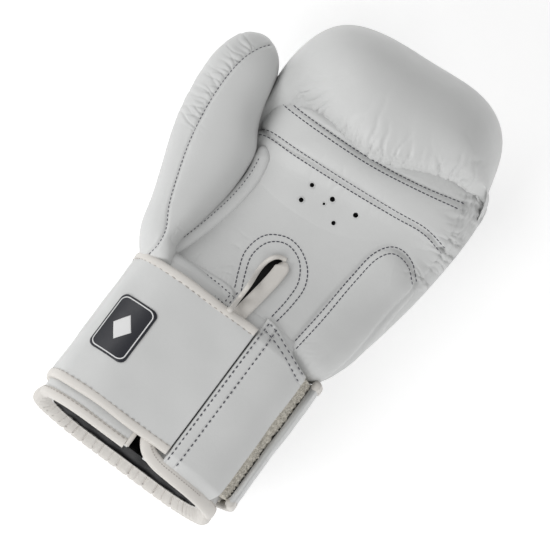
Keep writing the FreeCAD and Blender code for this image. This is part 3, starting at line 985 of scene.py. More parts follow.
    def palm_relief(self, grid: Array, facing: Array) -> Array:
        """Height of the palm's seams, grip band, heel cushion and gathers.

        Args:
            grid: grid of layout points.
            facing: how much each point's normal faces up, -1 to 1.

        Returns:
            Millimetres, one for each point.
        """
        marks = on_plane(grid)
        upper = smooth_step(facing, -0.2, 0.15)
        seams = (
            Seam(((-52.0, 252.0), (-20.0, 249.0), (20.0, 247.0), (55.0, 249.0), (84.0, 253.5)), 1.1, 1.3),
            Seam(((-50.0, 228.5), (-20.0, 227.0), (20.0, 226.0), (50.0, 226.5), (72.0, 226.5),
                  (86.5, 222.0)), 1.7, 1.5),
            Seam(self.flank_seam(), 1.3, 1.6),
            Seam(((36.0, 124.0), (41.0, 155.0), (46.0, 180.0), (51.0, 200.0), (58.0, 207.5),
                  (68.0, 207.0), (82.0, 197.0)), 1.2, 1.8),
        )
        total = sum(seam.height(marks) for seam in seams)
        heel = ((36.0, 118.0), (38.0, 135.0), (43.0, 160.0), (48.0, 184.0), (54.0, 203.0), (63.0, 208.0),
                (75.0, 203.0), (84.0, 192.0), (82.0, 175.0), (78.0, 150.0), (72.0, 125.0), (60.0, 100.0),
                (45.0, 100.0))
        total += Cushion(heel, 5.4, 6.0).height(marks)
        band_over_cuff = ((-66.0, 124.0), (-58.0, 131.5), (-46.0, 137.0), (-30.0, 138.0), (-9.0, 135.0),
                          (-8.0, 118.0), (-40.0, 118.0), (-62.0, 114.0))
        total += Cushion(band_over_cuff, 1.5, 0.8).height(marks)
        total += Gathers(((-48.0, 137.5), (-30.0, 138.5), (-11.0, 136.5)), 8.0, 0.6, 3.0, 35, side=1,
                         fade=3.0).height(marks)
        total += Gathers(((-17.0, 170.0), (-20.0, 158.0), (-15.0, 140.0)), 16.0, 0.7, 7.0, 36, side=-1,
                         fade=5.0).height(marks)
        band = ((-50.0, 250.0), (20.0, 245.5), (84.0, 251.0), (86.0, 224.0), (20.0, 228.0), (-50.0, 230.5))
        total += Cushion(band, 1.6, 4.0).height(marks)
        lower = ((-50.0, 227.0), (20.0, 224.5), (84.0, 221.0), (60.0, 211.0), (20.0, 196.0), (-30.0, 200.0),
                 (-48.0, 214.0))
        total += Cushion(lower, 0.9, 6.0).height(marks)
        total += self.flank_relief(marks)
        total += Gathers(((36.0, 132.0), (57.0, 112.0), (66.0, 106.0)), 9.0, 0.7, 3.4, 31, side=1,
                         fade=3.0).height(marks)
        total += Gathers(((-46.0, 229.0), (0.0, 226.0), (50.0, 226.0), (86.0, 222.0)), 9.0, 0.35, 5.0, 33
                         ).height(marks)
        return self.away_from_edges(grid) * (upper * total + Waves(0.3, 45.0, 6).height(grid))

    def build(self, finishes: Finishes) -> list[bpy.types.Object]:
        """Builds the shell and the palm.

        Args:
            finishes: every finish of the glove.

        Returns:
            The shell and the palm.
        """
        shell = self.surface(self.shell_rows, 430, 230)
        normal = self.outward(shell)
        shell = shell + self.shell_relief(shell, normal @ PLANE_UP)[..., None] * normal
        made = add_grid("knuckle_and_fingertip_leather", shell, finishes.shell, (20.0, 215.0, 55.0))
        palm = self.surface(self.palm_rows, 260, 330)
        normal = self.outward(palm)
        palm = palm + self.palm_relief(palm, normal @ PLANE_UP)[..., None] * normal
        cells = self.cells_kept(palm)
        under = add_grid("palm_leather", palm, finishes.shell, (20.0, 170.0, 40.0), keep=cells)
        return [made, under]

    def cells_kept(self, grid: Array) -> Array:
        """Grid cells outside the wrist slit and the vent holes.

        Args:
            grid: grid of layout points.

        Returns:
            True for the cells that stay.
        """
        marks = on_plane(grid)
        middle = (marks[:-1, :-1] + marks[1:, 1:]) / 2
        gone = inside(middle, smooth_line(WristSlit.opening, 80, closed=True, measured=2))
        for (x, y), radius in Vents.holes:
            gone |= np.hypot(middle[..., 0] - x, middle[..., 1] - y) < radius
        facing = self.outward(grid)[:-1, :-1] @ PLANE_UP
        return ~(gone & (facing > 0.3))

    @staticmethod
    def outward(grid: Array) -> Array:
        """Normals of a skin grid that point out of the mitt.

        Args:
            grid: grid of layout points.

        Returns:
            Unit normals.
        """
        normal = normals_of(grid)
        middle = np.array([20.0, 215.0, 55.0])
        sign = np.sign(np.einsum("ijk,ijk->ij", normal, grid - middle).sum())
        return normal * sign


class Vents:
    """Six vent holes in the palm: centre marks and radii."""

    holes = (((-3.0, 215.0), 1.5), ((12.0, 214.0), 1.7), ((29.0, 213.0), 1.7), ((9.0, 209.0), 1.0),
             ((-4.0, 204.0), 1.6), ((20.0, 202.0), 1.5))


class WristSlit:
    """The slit that opens the cuff on the palm side: outline marks of its dark opening."""

    opening = ((2.5, 168.0), (8.0, 163.0), (6.5, 150.0), (3.5, 134.0), (0.0, 112.0), (-8.0, 112.0),
               (-5.6, 130.0), (-4.2, 145.0), (-3.6, 156.0), (-1.0, 165.0))


# --- thumb -----------------------------------------------------------------------------------

@dataclass
class Thumb:
    """The stuffed thumb: an oval tube with a rounded tip, seamed along its palm face.

    Each cross-section is |x/a|^2.3 + |z/b|^2.3 = 1 in the plane of one y; the rows give y, left x,
    right x, low z and high z.
    """

    power: float = 2.3
    rows: tuple = (
        (103.0, -58.0, -46.0, 52.0, 74.0),
        (110.0, -64.5, -42.0, 45.0, 82.0),
        (117.0, -70.5, -44.0, 41.0, 88.0),
        (124.0, -75.5, -49.0, 39.0, 91.0),
        (133.0, -79.5, -53.0, 39.0, 93.5),
        (151.0, -83.0, -48.5, 41.0, 96.0),
        (172.0, -88.0, -44.0, 43.0, 97.0),
        (192.0, -93.0, -42.0, 45.0, 98.0),
        (206.0, -95.5, -42.5, 46.0, 98.0),
        (220.0, -96.8, -49.0, 46.5, 97.5),
        (233.0, -97.0, -52.5, 47.0, 96.5),
        (245.0, -95.8, -54.0, 49.0, 95.0),
        (255.0, -93.0, -55.5, 52.0, 92.0),
        (263.0, -89.0, -59.5, 56.5, 88.0),
        (268.0, -84.5, -64.5, 61.5, 83.0),
        (271.0, -79.0, -70.0, 67.0, 77.5),
    )
    seam: tuple = ((-68.5, 275.5), (-72.5, 271.0), (-78.0, 260.0), (-81.0, 245.0), (-82.0, 225.0),
                   (-80.0, 200.0), (-76.0, 180.0), (-70.5, 160.0), (-64.5, 146.0), (-64.0, 136.0),
                   (-66.0, 128.0))

    def surface(self) -> Array:
        """Rings of the thumb with its gathers and seam.

        Returns:
            Layout points, ring by ring.
        """
        line = smooth_line(self.rows, 300, measured=2)
        y, left, right, low, high = line.T[:, :, None]
        angle = np.linspace(0, 2 * math.pi, 260, endpoint=False)[None]
        c = np.sign(np.cos(angle)) * np.abs(np.cos(angle)) ** (2 / self.power)
        s = np.sign(np.sin(angle)) * np.abs(np.sin(angle)) ** (2 / self.power)
        grid = np.stack([(left + right) / 2 + (right - left) / 2 * c, y + 0 * c,
                         (low + high) / 2 + (high - low) / 2 * s], axis=-1)
        wrapped = np.concatenate([grid[:, -1:], grid, grid[:, :1]], axis=1)
        normal = normals_of(wrapped)[:, 1:-1]
        middle = grid.mean(axis=1, keepdims=True)
        normal *= np.sign(np.einsum("ijk,ijk->", normal, grid - middle))
        facing = smooth_step(normal @ PLANE_UP, -0.3, 0.1)
        marks = on_plane(grid)
        tucks = Gathers(self.seam[1:6], 13.0, 2.3, 3.4, 41, side=-1, fade=9.0).height(marks)
        tucks += Gathers(self.seam[1:6], 18.0, 1.5, 6.0, 42, side=-1, fade=9.0).height(marks)
        tucks += Gathers(self.seam[1:6], 5.0, 0.35, 3.4, 43, side=1, fade=9.0).height(marks)
        seam = Seam(self.seam, 0.9, 1.0).height(marks)
        creases = Gathers(((-66.0, 150.0), (-58.0, 146.0), (-52.0, 160.0)), 12.0, 0.5, 5.0, 44).height(marks)
        relief = facing * (tucks + seam + creases) + Waves(0.3, 50.0, 7).height(grid)
        return grid + relief[..., None] * normal

    def build(self, finishes: Finishes) -> bpy.types.Object:
        """Builds the thumb's leather.

        Args:
            finishes: every finish of the glove.

        Returns:
            The thumb.
        """
        made = add_tube("thumb_leather", self.surface(), finishes.shell)
        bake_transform(made)
        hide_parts("thumb_outer_leather", "thumb_inner_leather", "thumb_pad")
        return made


@dataclass
class GussetRoll:
    """Rolled leather strip in the crook between thumb and palm."""

    marks: tuple = ((-41.0, 221.0), (-37.5, 215.0), (-36.0, 203.0), (-38.0, 187.0), (-42.5, 170.0),
                    (-48.5, 153.0), (-54.5, 139.0), (-59.0, 131.0))
    stitches: tuple = ((-39.0, 213.0), (-38.6, 203.0), (-40.6, 187.0), (-45.2, 170.0), (-51.0, 153.5),
                       (-56.6, 140.0))
    half_width: float = 5.2
    half_height: float = 4.2

    def build(self, finishes: Finishes, palm: Ground) -> bpy.types.Object:
        """Lays the roll on the palm.

        Args:
            finishes: every finish of the glove.
            palm: the palm leather.

        Returns:
            The roll.
        """
        line = smooth_line(self.marks, 120, measured=2)
        path, normals = palm.under(line, 0.6)
        kernel = np.ones(9) / 9
        padded = np.pad(path, ((4, 4), (0, 0)), mode="edge")
        path = np.stack([np.convolve(padded[:, k], kernel, mode="valid") for k in range(3)], axis=-1)
        tilt = 0.45 * PLANE_UP + normals
        tilt /= np.linalg.norm(tilt, axis=1, keepdims=True)
        grid = ring_tube(path, tilt, self.half_width, self.half_height, 28)
        taper = np.clip(np.minimum(np.arange(120), 119 - np.arange(120)) / 9.0, 0.05, 1.0) ** 0.5
        grid = path[:, None] + (grid - path[:, None]) * taper[:, None, None]
        made = add_tube("thumb_gusset_roll", grid, finishes.shell)
        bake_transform(made)
        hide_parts("thumb_gusset")
        return made


# --- cuff ------------------------------------------------------------------------------------

@dataclass(frozen=True)
class CuffFrame:
    """The cuff's rounded slab section, unrolled: length along the outline, height above it, and
    distance along the cuff's axis (negative towards the wrist).

    The length is 0 at the right end of the palm side and grows towards the thumb.
    """

    half_width: float = 62.5
    half_height: float = 41.0
    corner: float = 36.0
    lean: float = -5.65
    tilt: float = 1.5
    base: tuple = (-6.1, 118.0, 51.0)

    @property
    def round_length(self) -> float:
        """Length once round."""
        flats = 4 * (self.half_width - self.corner) + 4 * (self.half_height - self.corner)
        return flats + 2 * math.pi * self.corner

    def on_flat(self, x: float) -> float:
        """Length at a point x on the palm side."""
        return self.half_width - self.corner - x

    def at_turn(self, turn: float) -> float:
        """Length where the outline has turned by that many degrees; on a flat, its middle.

        Args:
            turn: degrees turned from the palm.

        Returns:
            Length round the cuff.
        """
        flat_x, flat_z = self.half_width - self.corner, self.half_height - self.corner
        quarter, part = divmod(turn, 90.0)
        before = (2 * flat_x, 2 * flat_x + 2 * flat_z, 4 * flat_x + 2 * flat_z, 4 * (flat_x + flat_z))
        lengths = before[int(quarter)] + (quarter * 90.0 + part) * math.pi / 180 * self.corner
        if part == 0 and quarter > 0:
            lengths -= (flat_z, flat_x)[(int(quarter) + 1) % 2]
        return lengths

    def section(self, length: Array) -> tuple[Array, Array]:
        """Points and outward directions of the section at those lengths.

        Args:
            length: lengths round the cuff.

        Returns:
            The points and the directions.
        """
        flat_x, flat_z, quarter = (self.half_width - self.corner, self.half_height - self.corner,
                                   math.pi / 2 * self.corner)
        stops = np.cumsum([0, 2 * flat_x, quarter, 2 * flat_z, quarter, 2 * flat_x, quarter, 2 * flat_z,
                           quarter])
        turns = np.array([0, 0, 1, 1, 2, 2, 3, 3, 4]) * math.pi / 2 + math.pi / 2
        rest = np.mod(length, stops[-1])
        turn = np.interp(rest, stops, turns)
        centre_x = np.interp(rest, stops, [flat_x, -flat_x, -flat_x, -flat_x, -flat_x, flat_x, flat_x,
                                           flat_x, flat_x])
        centre_z = np.interp(rest, stops, [flat_z, flat_z, flat_z, -flat_z, -flat_z, -flat_z, -flat_z,
                                           flat_z, flat_z])
        out = np.stack([np.cos(turn), np.sin(turn)], axis=-1)
        return np.stack([centre_x, centre_z], axis=-1) + self.corner * out, out

    def directions(self, out: Array) -> Array:
        """Section directions turned into the layout."""
        return self.turned(np.stack([out[..., 0], 0 * out[..., 0], out[..., 1]], axis=-1))

    def turned(self, local: Array) -> Array:
        """Cuff directions in the layout: tilted about X, then leaned about Z.

        Args:
            local: points or directions in the cuff's own frame.

        Returns:
            The same in the layout.
        """
        a, b = math.radians(self.lean), math.radians(self.tilt)
        tilt = np.array([[1, 0, 0], [0, math.cos(b), -math.sin(b)], [0, math.sin(b), math.cos(b)]])
        lean = np.array([[math.cos(a), -math.sin(a), 0], [math.sin(a), math.cos(a), 0], [0, 0, 1]])
        return local @ (lean @ tilt).T

    def place(self, length: Array, height: Array, along: Array) -> Array:
        """Layout points at lengths, heights and distances along the axis.

        Args:
            length: lengths round the cuff.
            height: heights above the cuff.
            along: distances along the cuff's axis.

        Returns:
            Layout points.
        """
        length, height, along = np.broadcast_arrays(length, height, along)
        point, out = self.section(np.asarray(length, float))
        x = point[..., 0] + height * out[..., 0]
        z = point[..., 1] + height * out[..., 1]
        return self.turned(np.stack([x, along, z], axis=-1)) + np.array(self.base)

    def out(self, length: Array) -> Array:
        """Outward directions in the layout at those lengths."""
        return self.directions(self.section(np.asarray(length, float))[1])


CUFF = CuffFrame()


@dataclass
class Ribbon:
    """A closed section carried round the cuff between two lengths."""

    start: float
    stop: float
    steps: int
    section: Array

    def grid(self, relief: Optional[Array] = None) -> Array:
        """Rings of the ribbon; the section's columns are height and distance along.

        Args:
            relief: extra height of each point.

        Returns:
            Layout points, ring by ring.
        """
        length = np.linspace(self.start, self.stop, self.steps)[:, None]
        height = self.section[None, :, 0] + (0 if relief is None else relief)
        return CUFF.place(length, height, self.section[None, :, 1])


def flat_section(near: float, far: float, low: float, high: float, across: int = 40,
                 edge: float = 1.2) -> Array:
    """Closed slab section with rounded edges, as heights and distances along.

    Args:
        near: edge nearer the hand.
        far: edge nearer the wrist.
        low: height of the underside.
        high: height of the top.
        across: points across.
        edge: radius of the rounded edges.

    Returns:
        Rows of height and distance along.
    """
    middle, half = (near + far) / 2, abs(near - far) / 2
    rise, base = (high - low) / 2, (high + low) / 2
    u = np.linspace(-1, 1, across)
    shoulder = np.clip((1 - np.abs(u)) * half / edge, 0, 1)
    tall = rise * np.sqrt(1 - (1 - shoulder) ** 2)
    top = np.stack([base + tall, middle + u * half], axis=-1)
    bottom = np.stack([base - tall, middle + u * half], axis=-1)[::-1]
    return np.vstack([top, bottom[1:-1]])


def surface_tube(length: Array, height: Array, along: Array, half_width: float, half_height: float,
                 around: int = 20, power: float = 2.4) -> Array:
    """Tube over a line on the cuff, its width lying in the leather."""
    path = CUFF.place(length, height, along)
    return ring_tube(path, CUFF.out(length), half_width, half_height, around, power)


@dataclass
class Cuff:
    """The cuff: leather, black lining, bound slit, bound rim and gathered skirt."""

    rim: float = -107.0
    slit_left: float = -0.5
    slit_right: float = 9.0
    skirt_from: float = 80.0
    skirt_to: float = 290.0

    def build(self, finishes: Finishes, palm: Ground) -> list[bpy.types.Object]:
        """Builds every piece of the cuff and fixes it to the hand.

        Args:
            finishes: every finish of the glove.
            palm: the palm leather.

        Returns:
            The pieces of the cuff.
        """
        leather = self.leather(finishes)
        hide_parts("cuff_leather", "cuff_foam", "cuff_seam_band")
        lining = self.lining(finishes)
        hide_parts("cuff_lining")
        made = [leather, lining, self.rim_thumb_side(finishes), self.lip(finishes, palm),
                self.flap_on_palm(finishes), self.flap_to_rim(finishes), self.skirt(finishes),
                self.slit_facing(finishes)]
        slots = ("leather", "lining", "binding", "binding", "binding", "binding", "binding", "lining")
        for piece, name in zip(made, slots):
            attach(piece, "hand")
        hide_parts("rim_binding")
        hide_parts("slit_binding_thumb_side")
        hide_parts("slit_binding_palm")
        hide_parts("slit_binding_finger_side")
        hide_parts("rim_gather")
        return made

    def leather(self, finishes: Finishes) -> bpy.types.Object:
        """Outer leather from the palm's seam to the rim, turned in at both ends.

        Args:
            finishes: every finish of the glove.

        Returns:
            The new piece.
        """
        first = CUFF.on_flat(self.slit_left)
        last = CUFF.round_length + CUFF.on_flat(self.slit_right + 2.0)
        along = np.concatenate([[6.0, 5.0, 3.0], np.linspace(0.0, -103.0, 90), [-106.0, -107.5, -107.8]])
        height = np.concatenate([[-9.0, -4.0, -1.2], np.zeros(90), [-0.8, -3.0, -9.0]])
        length = np.linspace(first, last, 420)[:, None]
        grid = CUFF.place(length, height[None], along[None])
        swell = Waves(0.5, 40.0, 8).height(grid)
        grid = CUFF.place(length, height[None] + swell, along[None])
        return add_grid("cuff_leather_cover", grid, finishes.shell, CUFF.place(0.0, -30.0, -50.0))

    def lining(self, finishes: Finishes) -> bpy.types.Object:
        """Black satin tunnel from the rim to the bottom of the hand pocket, closed at its end.

        Args:
            finishes: every finish of the glove.

        Returns:
            The new piece.
        """
        along = np.concatenate([[-107.6, -107.0, -104.0], np.linspace(-98.0, 0.0, 30),
                                np.linspace(6.0, 74.0, 24), [78.0, 79.0]])
        height = np.concatenate([[-4.0, -8.0, -11.5], np.full(30, -12.9), np.full(24, -13.5), [-17.0, -30.0]])
        length = np.linspace(0, CUFF.round_length, 240, endpoint=False)[None]
        puckers = 0.5 * np.sin(length / 3.1) * np.clip((-80.0 - along[:, None]) / 20.0, 0, 1)
        grid = CUFF.place(length, height[:, None] + puckers, along[:, None])
        deep = np.clip(along / 74.0, 0.0, 1.0)[:, None, None]
        axis = CUFF.turned(np.stack([0 * along, along, 0 * along], axis=-1)) + np.array(CUFF.base)
        grid = axis[:, None] + (grid - axis[:, None]) * (1 - 0.28 * deep)
        grid[..., 0] += (18.0 * deep[..., 0]) ** 1.0
        tip = grid[-1].mean(axis=0)
        grid = np.concatenate([grid, (tip + (grid[-1:] - tip) * 1e-3)])
        faces = grid_faces(grid.shape[0], grid.shape[1], close_columns=True)
        inward = turned_out(grid, faces, grid.reshape(-1, 3).mean(axis=0))[:, ::-1]
        return add_piece("pocket_lining", grid, inward, finishes.lining)

    def rim_thumb_side(self, finishes: Finishes) -> bpy.types.Object:
        """Bound rim on the thumb's side of the slit.

        Args:
            finishes: every finish of the glove.

        Returns:
            The new piece.
        """
        length = np.linspace(CUFF.on_flat(-2.5), CUFF.at_turn(92.0), 200)
        grid = surface_tube(length, -2.2 + 0 * length, self.rim + 0 * length, 3.4, 3.6)
        return add_tube("rim_binding_thumb_side", grid, finishes.trim)

    def lip(self, finishes: Finishes, palm: Ground) -> bpy.types.Object:
        """Thin bound lip on the thumb's side of the slit, from the palm to the rim.

        Args:
            finishes: every finish of the glove.
            palm: the palm leather.

        Returns:
            The new piece.
        """
        marks = smooth_line(((7.0, 168.0), (3.0, 168.5), (-1.2, 165.0), (-4.2, 156.0), (-4.2, 145.0),
                             (-5.4, 134.0), (-6.3, 125.0)), 60, measured=2)
        upper, _ = palm.under(marks, 0.2)
        along = np.linspace(-6.0, -108.0, 80)
        lower = CUFF.place(CUFF.on_flat(self.slit_left - 0.6), 0.2, along)
        for _ in range(30):
            upper[1:-1] = (upper[:-2] + 2 * upper[1:-1] + upper[2:]) / 4
        path = smooth_line(np.vstack([upper, lower]), 260)
        up = np.repeat(PLANE_UP[None], 260, axis=0)
        return add_tube("slit_lip_thumb_side", ring_tube(path, up, 1.5, 1.4, 12), finishes.trim)

    def flap_on_palm(self, finishes: Finishes) -> bpy.types.Object:
        """Wide bound edge that overlaps the slit on the palm, folded over at its top.

        Args:
            finishes: every finish of the glove.

        Returns:
            The new piece.
        """
        marks = smooth_line(((6.4, 166.5), (7.2, 163.0), (6.6, 156.0), (4.6, 146.0), (2.0, 135.0),
                             (-0.2, 126.0), (-2.4, 114.0), (-4.0, 100.0)), 130, measured=2)
        rise = np.interp(marks[:, 1], [100.0, 114.0, 126.0, 135.0, 146.0, 156.0, 163.0, 167.0],
                         [92.3, 92.4, 92.2, 90.6, 88.4, 86.4, 84.8, 81.5])
        path = at_level(marks, rise)
        up = np.repeat((PLANE_UP + np.array([-0.22, 0.0, 0.0]))[None], 130, axis=0)
        grid = ring_tube(path, up, 4.7, 1.9, 26, 2.6)
        taper = np.clip(np.arange(130) / 8.0, 0.03, 1.0) ** 0.5
        grid = path[:, None] + (grid - path[:, None]) * taper[:, None, None]
        return add_tube("slit_flap_palm", grid, finishes.trim)

    def flap_to_rim(self, finishes: Finishes) -> bpy.types.Object:
        """The same bound edge where it leaves the strap and turns round the rim to the far side.

        Args:
            finishes: every finish of the glove.

        Returns:
            The new piece.
        """
        turnings = np.array([
            # x on the palm side, distance along, height
            (5.4, -40.0, 1.6), (5.4, -70.0, 1.6), (5.6, -88.0, 1.6), (7.0, -97.0, 1.2),
            (11.5, -102.6, 1.4), (19.0, -105.4, 1.6), (30.0, -106.4, 1.6), (50.0, -106.6, 1.4),
            (80.0, -106.8, 1.0), (104.0, -107.2, 0.6)])
        line = smooth_line(turnings, 260, measured=2)
        grid = surface_tube(CUFF.on_flat(line[:, 0]), line[:, 2], line[:, 1], 4.6, 2.6, 26, 2.3)
        return add_tube("slit_flap_to_rim", grid, finishes.trim)

    def skirt(self, finishes: Finishes) -> bpy.types.Object:
        """Gathered roll round the back of the opening, ruffled across its width.

        Args:
            finishes: every finish of the glove.

        Returns:
            The new piece.
        """
        outline = np.array([(-8.0, -103.0), (-7.4, -107.0), (-5.6, -110.6), (-2.6, -113.6), (0.6, -114.6),
                            (2.8, -112.6), (3.4, -109.4), (2.4, -105.4), (0.2, -102.0), (-3.0, -100.6),
                            (-6.4, -101.2)])
        section = smooth_line(outline, 44, closed=True, measured=2)
        steps = 900
        length = np.linspace(CUFF.at_turn(self.skirt_from), CUFF.at_turn(self.skirt_to), steps)[:, None]
        rng = np.random.default_rng(51)
        folds = np.zeros((steps, 1))
        middles = np.cumsum(rng.uniform(4.2, 8.6, 80)) + length[0, 0]
        for middle, strength, width in zip(middles, rng.uniform(0.5, 1.1, 80), rng.uniform(0.8, 1.5, 80)):
            away = np.abs(length - middle)
            folds += strength * (0.5 * np.exp(-((away / (2.2 * width)) ** 2)) - np.exp(-away / width))
        free = np.clip((-103.5 - section[None, :, 1]) / 5.0, 0, 1)
        ends = np.clip(np.minimum(length - length[0], length[-1] - length) / 14.0, 0.02, 1.0) ** 0.5
        height = section[None, :, 0] + free * 1.9 * folds * np.sign(section[None, :, 0] + 2.5)
        height = -3.0 + (height + 3.0) * ends
        along = -105.0 + (section[None, :, 1] - free * 1.5 * folds + 105.0) * ends
        grid = CUFF.place(length, height, along)
        grid[..., 2] = np.maximum(grid[..., 2], 0.3)
        return add_tube("rim_gathered_roll", grid, finishes.trim)

    def slit_facing(self, finishes: Finishes) -> bpy.types.Object:
        """Dark tongue under the slit, so that nothing pale shows through it.

        Args:
            finishes: every finish of the glove.

        Returns:
            The new piece.
        """
        marks = smooth_line(((4.0, 172.0), (0.0, 150.0), (-3.0, 125.0), (-6.0, 100.0)), 40, measured=2)
        path = at_level(marks, np.interp(marks[:, 1], [100.0, 125.0, 150.0, 172.0],
                                         [82.0, 82.0, 77.0, 74.0]))
        up = np.repeat(PLANE_UP[None], 40, axis=0)
        return add_tube("slit_facing", ring_tube(path, up, 11.0, 1.2, 20, 3.0), finishes.lining)

    def sew(self, sewing: Sewing) -> None:
        """Stitches on the rim, the flap and the zigzag along the skirt's inner edge.

        Args:
            sewing: where the stitches are collected.
        """
        length = np.arange(CUFF.on_flat(-4.0), CUFF.at_turn(80.0), 3.4)
        sewing.add("pale", CUFF.place(length, 1.35, self.rim + 1.6), CUFF.out(length), 0.3, 0.35)
        turnings = np.array([(5.4, -60.0), (5.6, -86.0), (7.4, -95.0), (12.5, -101.0), (20.0, -104.3),
                             (34.0, -105.2), (52.0, -105.3)])
        line = smooth_line(turnings, 48, measured=2)
        lengths = CUFF.on_flat(line[:, 0])
        sewing.add("pale", CUFF.place(lengths, 4.15, line[:, 1]), CUFF.out(lengths), 0.3, 0.35)
        zig = np.arange(CUFF.at_turn(95.0), CUFF.at_turn(285.0), 1.7)
        swing = np.where(np.arange(len(zig)) % 2 == 0, 0.0, 1.0)
        inward = -CUFF.out(zig) + np.array([0.0, -0.6, 0.0])
        inward /= np.linalg.norm(inward, axis=1, keepdims=True)
        sewing.add("pale", CUFF.place(zig, -8.6 + 1.0 * swing, -104.0 - 3.0 * swing), inward, 0.3, 0.1)


@dataclass
class SidePanel:
    """Leather panel over the strap's sewn end, from the strap's root round to the far side."""

    left: float = 21.4
    turn: float = 304.0
    top: float = 7.7

    def build(self, finishes: Finishes) -> bpy.types.Object:
        """Builds the panel with soft raised edges.

        Args:
            finishes: every finish of the glove.

        Returns:
            The panel.
        """
        first = CUFF.at_turn(self.turn)
        last = CUFF.round_length + CUFF.on_flat(self.left)
        rows, columns = 200, 240
        u = np.linspace(0, 1, rows)[:, None]
        v = np.linspace(0, 1, columns)[None]
        length = first + (last - first) * (1 - (1 - u) ** 1.0)
        near = -7.5 + 12.5 * smooth_step(u, 0.0, 1.0)
        far = -104.5
        along = near + (far - near) * v
        edge = np.minimum(np.minimum(length - first, last - length), np.minimum(near - along, along - far))
        height = self.top * smooth_step(-along, -1.0, 11.0) + 1.6 * (1 - smooth_step(-along, -1.0, 11.0))
        height = height - (self.top - 2.4) * smooth_step(-along, 96.0, 107.0)
        rounding = np.sqrt(1 - (1 - np.clip(edge / 1.8, 0, 1)) ** 2)
        seam = sum(-0.35 * np.exp(-(((last - length) - d) / 0.7) ** 2) for d in (2.6, 8.4))
        seam = seam + sum(-0.3 * np.exp(-(((near - along) - d) / 0.7) ** 2) for d in (2.4, 7.4))
        grid = CUFF.place(length, height, along)
        height = (height + seam + Waves(0.45, 45.0, 9).height(grid)) * rounding - 0.4 * (1 - rounding)
        made = add_grid("cuff_side_panel_cover", CUFF.place(length, height, along), finishes.shell,
                        CUFF.place(0.0, -30.0, -50.0))
        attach(made, "hand")
        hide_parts("cuff_side_panel", "strap_anchor", "strap_anchor_filler")
        return made

    def sew(self, sewing: Sewing) -> None:
        """Two rows of stitches along the left edge and two along the hand's edge.

        Args:
            sewing: where the stitches are collected.
        """
        last = CUFF.on_flat(self.left)
        for inset in (2.6, 8.4):
            along = np.arange(3.0, -104.0, -3.6)
            length = last - inset + 0 * along
            height = self.top + 0.05 - (self.top - 1.6) * (1 - smooth_step(-along, -1.0, 11.0))
            height = height - (self.top - 2.4) * smooth_step(-along, 96.0, 107.0)
            sewing.add("dark", CUFF.place(length, height, along), CUFF.out(length), 0.33, 0.42)
        first = CUFF.at_turn(self.turn)
        end = CUFF.round_length + last
        for inset in (2.4, 7.4):
            length = np.arange(end - 2.6, first + 2.0, -3.3)
            share = (length - first) / (end - first)
            near = -7.5 + 12.5 * smooth_step(share, 0.0, 1.0)
            along = near - inset
            height = self.top * smooth_step(-along, -1.0, 11.0) + 1.6 * (1 - smooth_step(-along, -1.0, 11.0))
            sewing.add("dark", CUFF.place(length, height + 0.1, along), CUFF.out(length), 0.3, 0.45)


@dataclass
class LoopTape:
    """Fuzzy loop tape on the far side, seen between the panel and the strap's end."""

    start: float = 200.0
    stop: float = 316.0

    def build(self, finishes: Finishes) -> bpy.types.Object:
        """Builds the tape with a ragged pile.

        Args:
            finishes: every finish of the glove.

        Returns:
            The tape.
        """
        section = flat_section(-9.0, -97.0, 0.0, 3.0, 150, 1.5)
        steps = 300
        rng = np.random.default_rng(61)
        rough = rng.normal(0.0, 1.0, (steps, len(section)))
        for _ in range(2):
            rough = (rough + np.roll(rough, 1, 0) + np.roll(rough, 1, 1) + np.roll(rough, -1, 0)) / 4
        upper = section[None, :, 0] > 1.6
        ribbon = Ribbon(CUFF.at_turn(self.start), CUFF.at_turn(self.stop), steps, section)
        length = np.linspace(ribbon.start, ribbon.stop, steps)[:, None]
        open_part = smooth_step(length, CUFF.at_turn(285.0), CUFF.at_turn(288.0))
        relief = np.where(upper, 1.7 * rough + 2.9 * open_part, 0.0) * np.where(
            length > CUFF.at_turn(284.0), 1.0, 0.1)
        relief = relief - np.where(upper, 1.6 * (1 - open_part), 0.0)
        made = add_tube("loop_tape_pile", ribbon.grid(relief), finishes.pile)
        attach(made, "hand")
        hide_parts("loop_panel")
        return made


# --- strap -----------------------------------------------------------------------------------

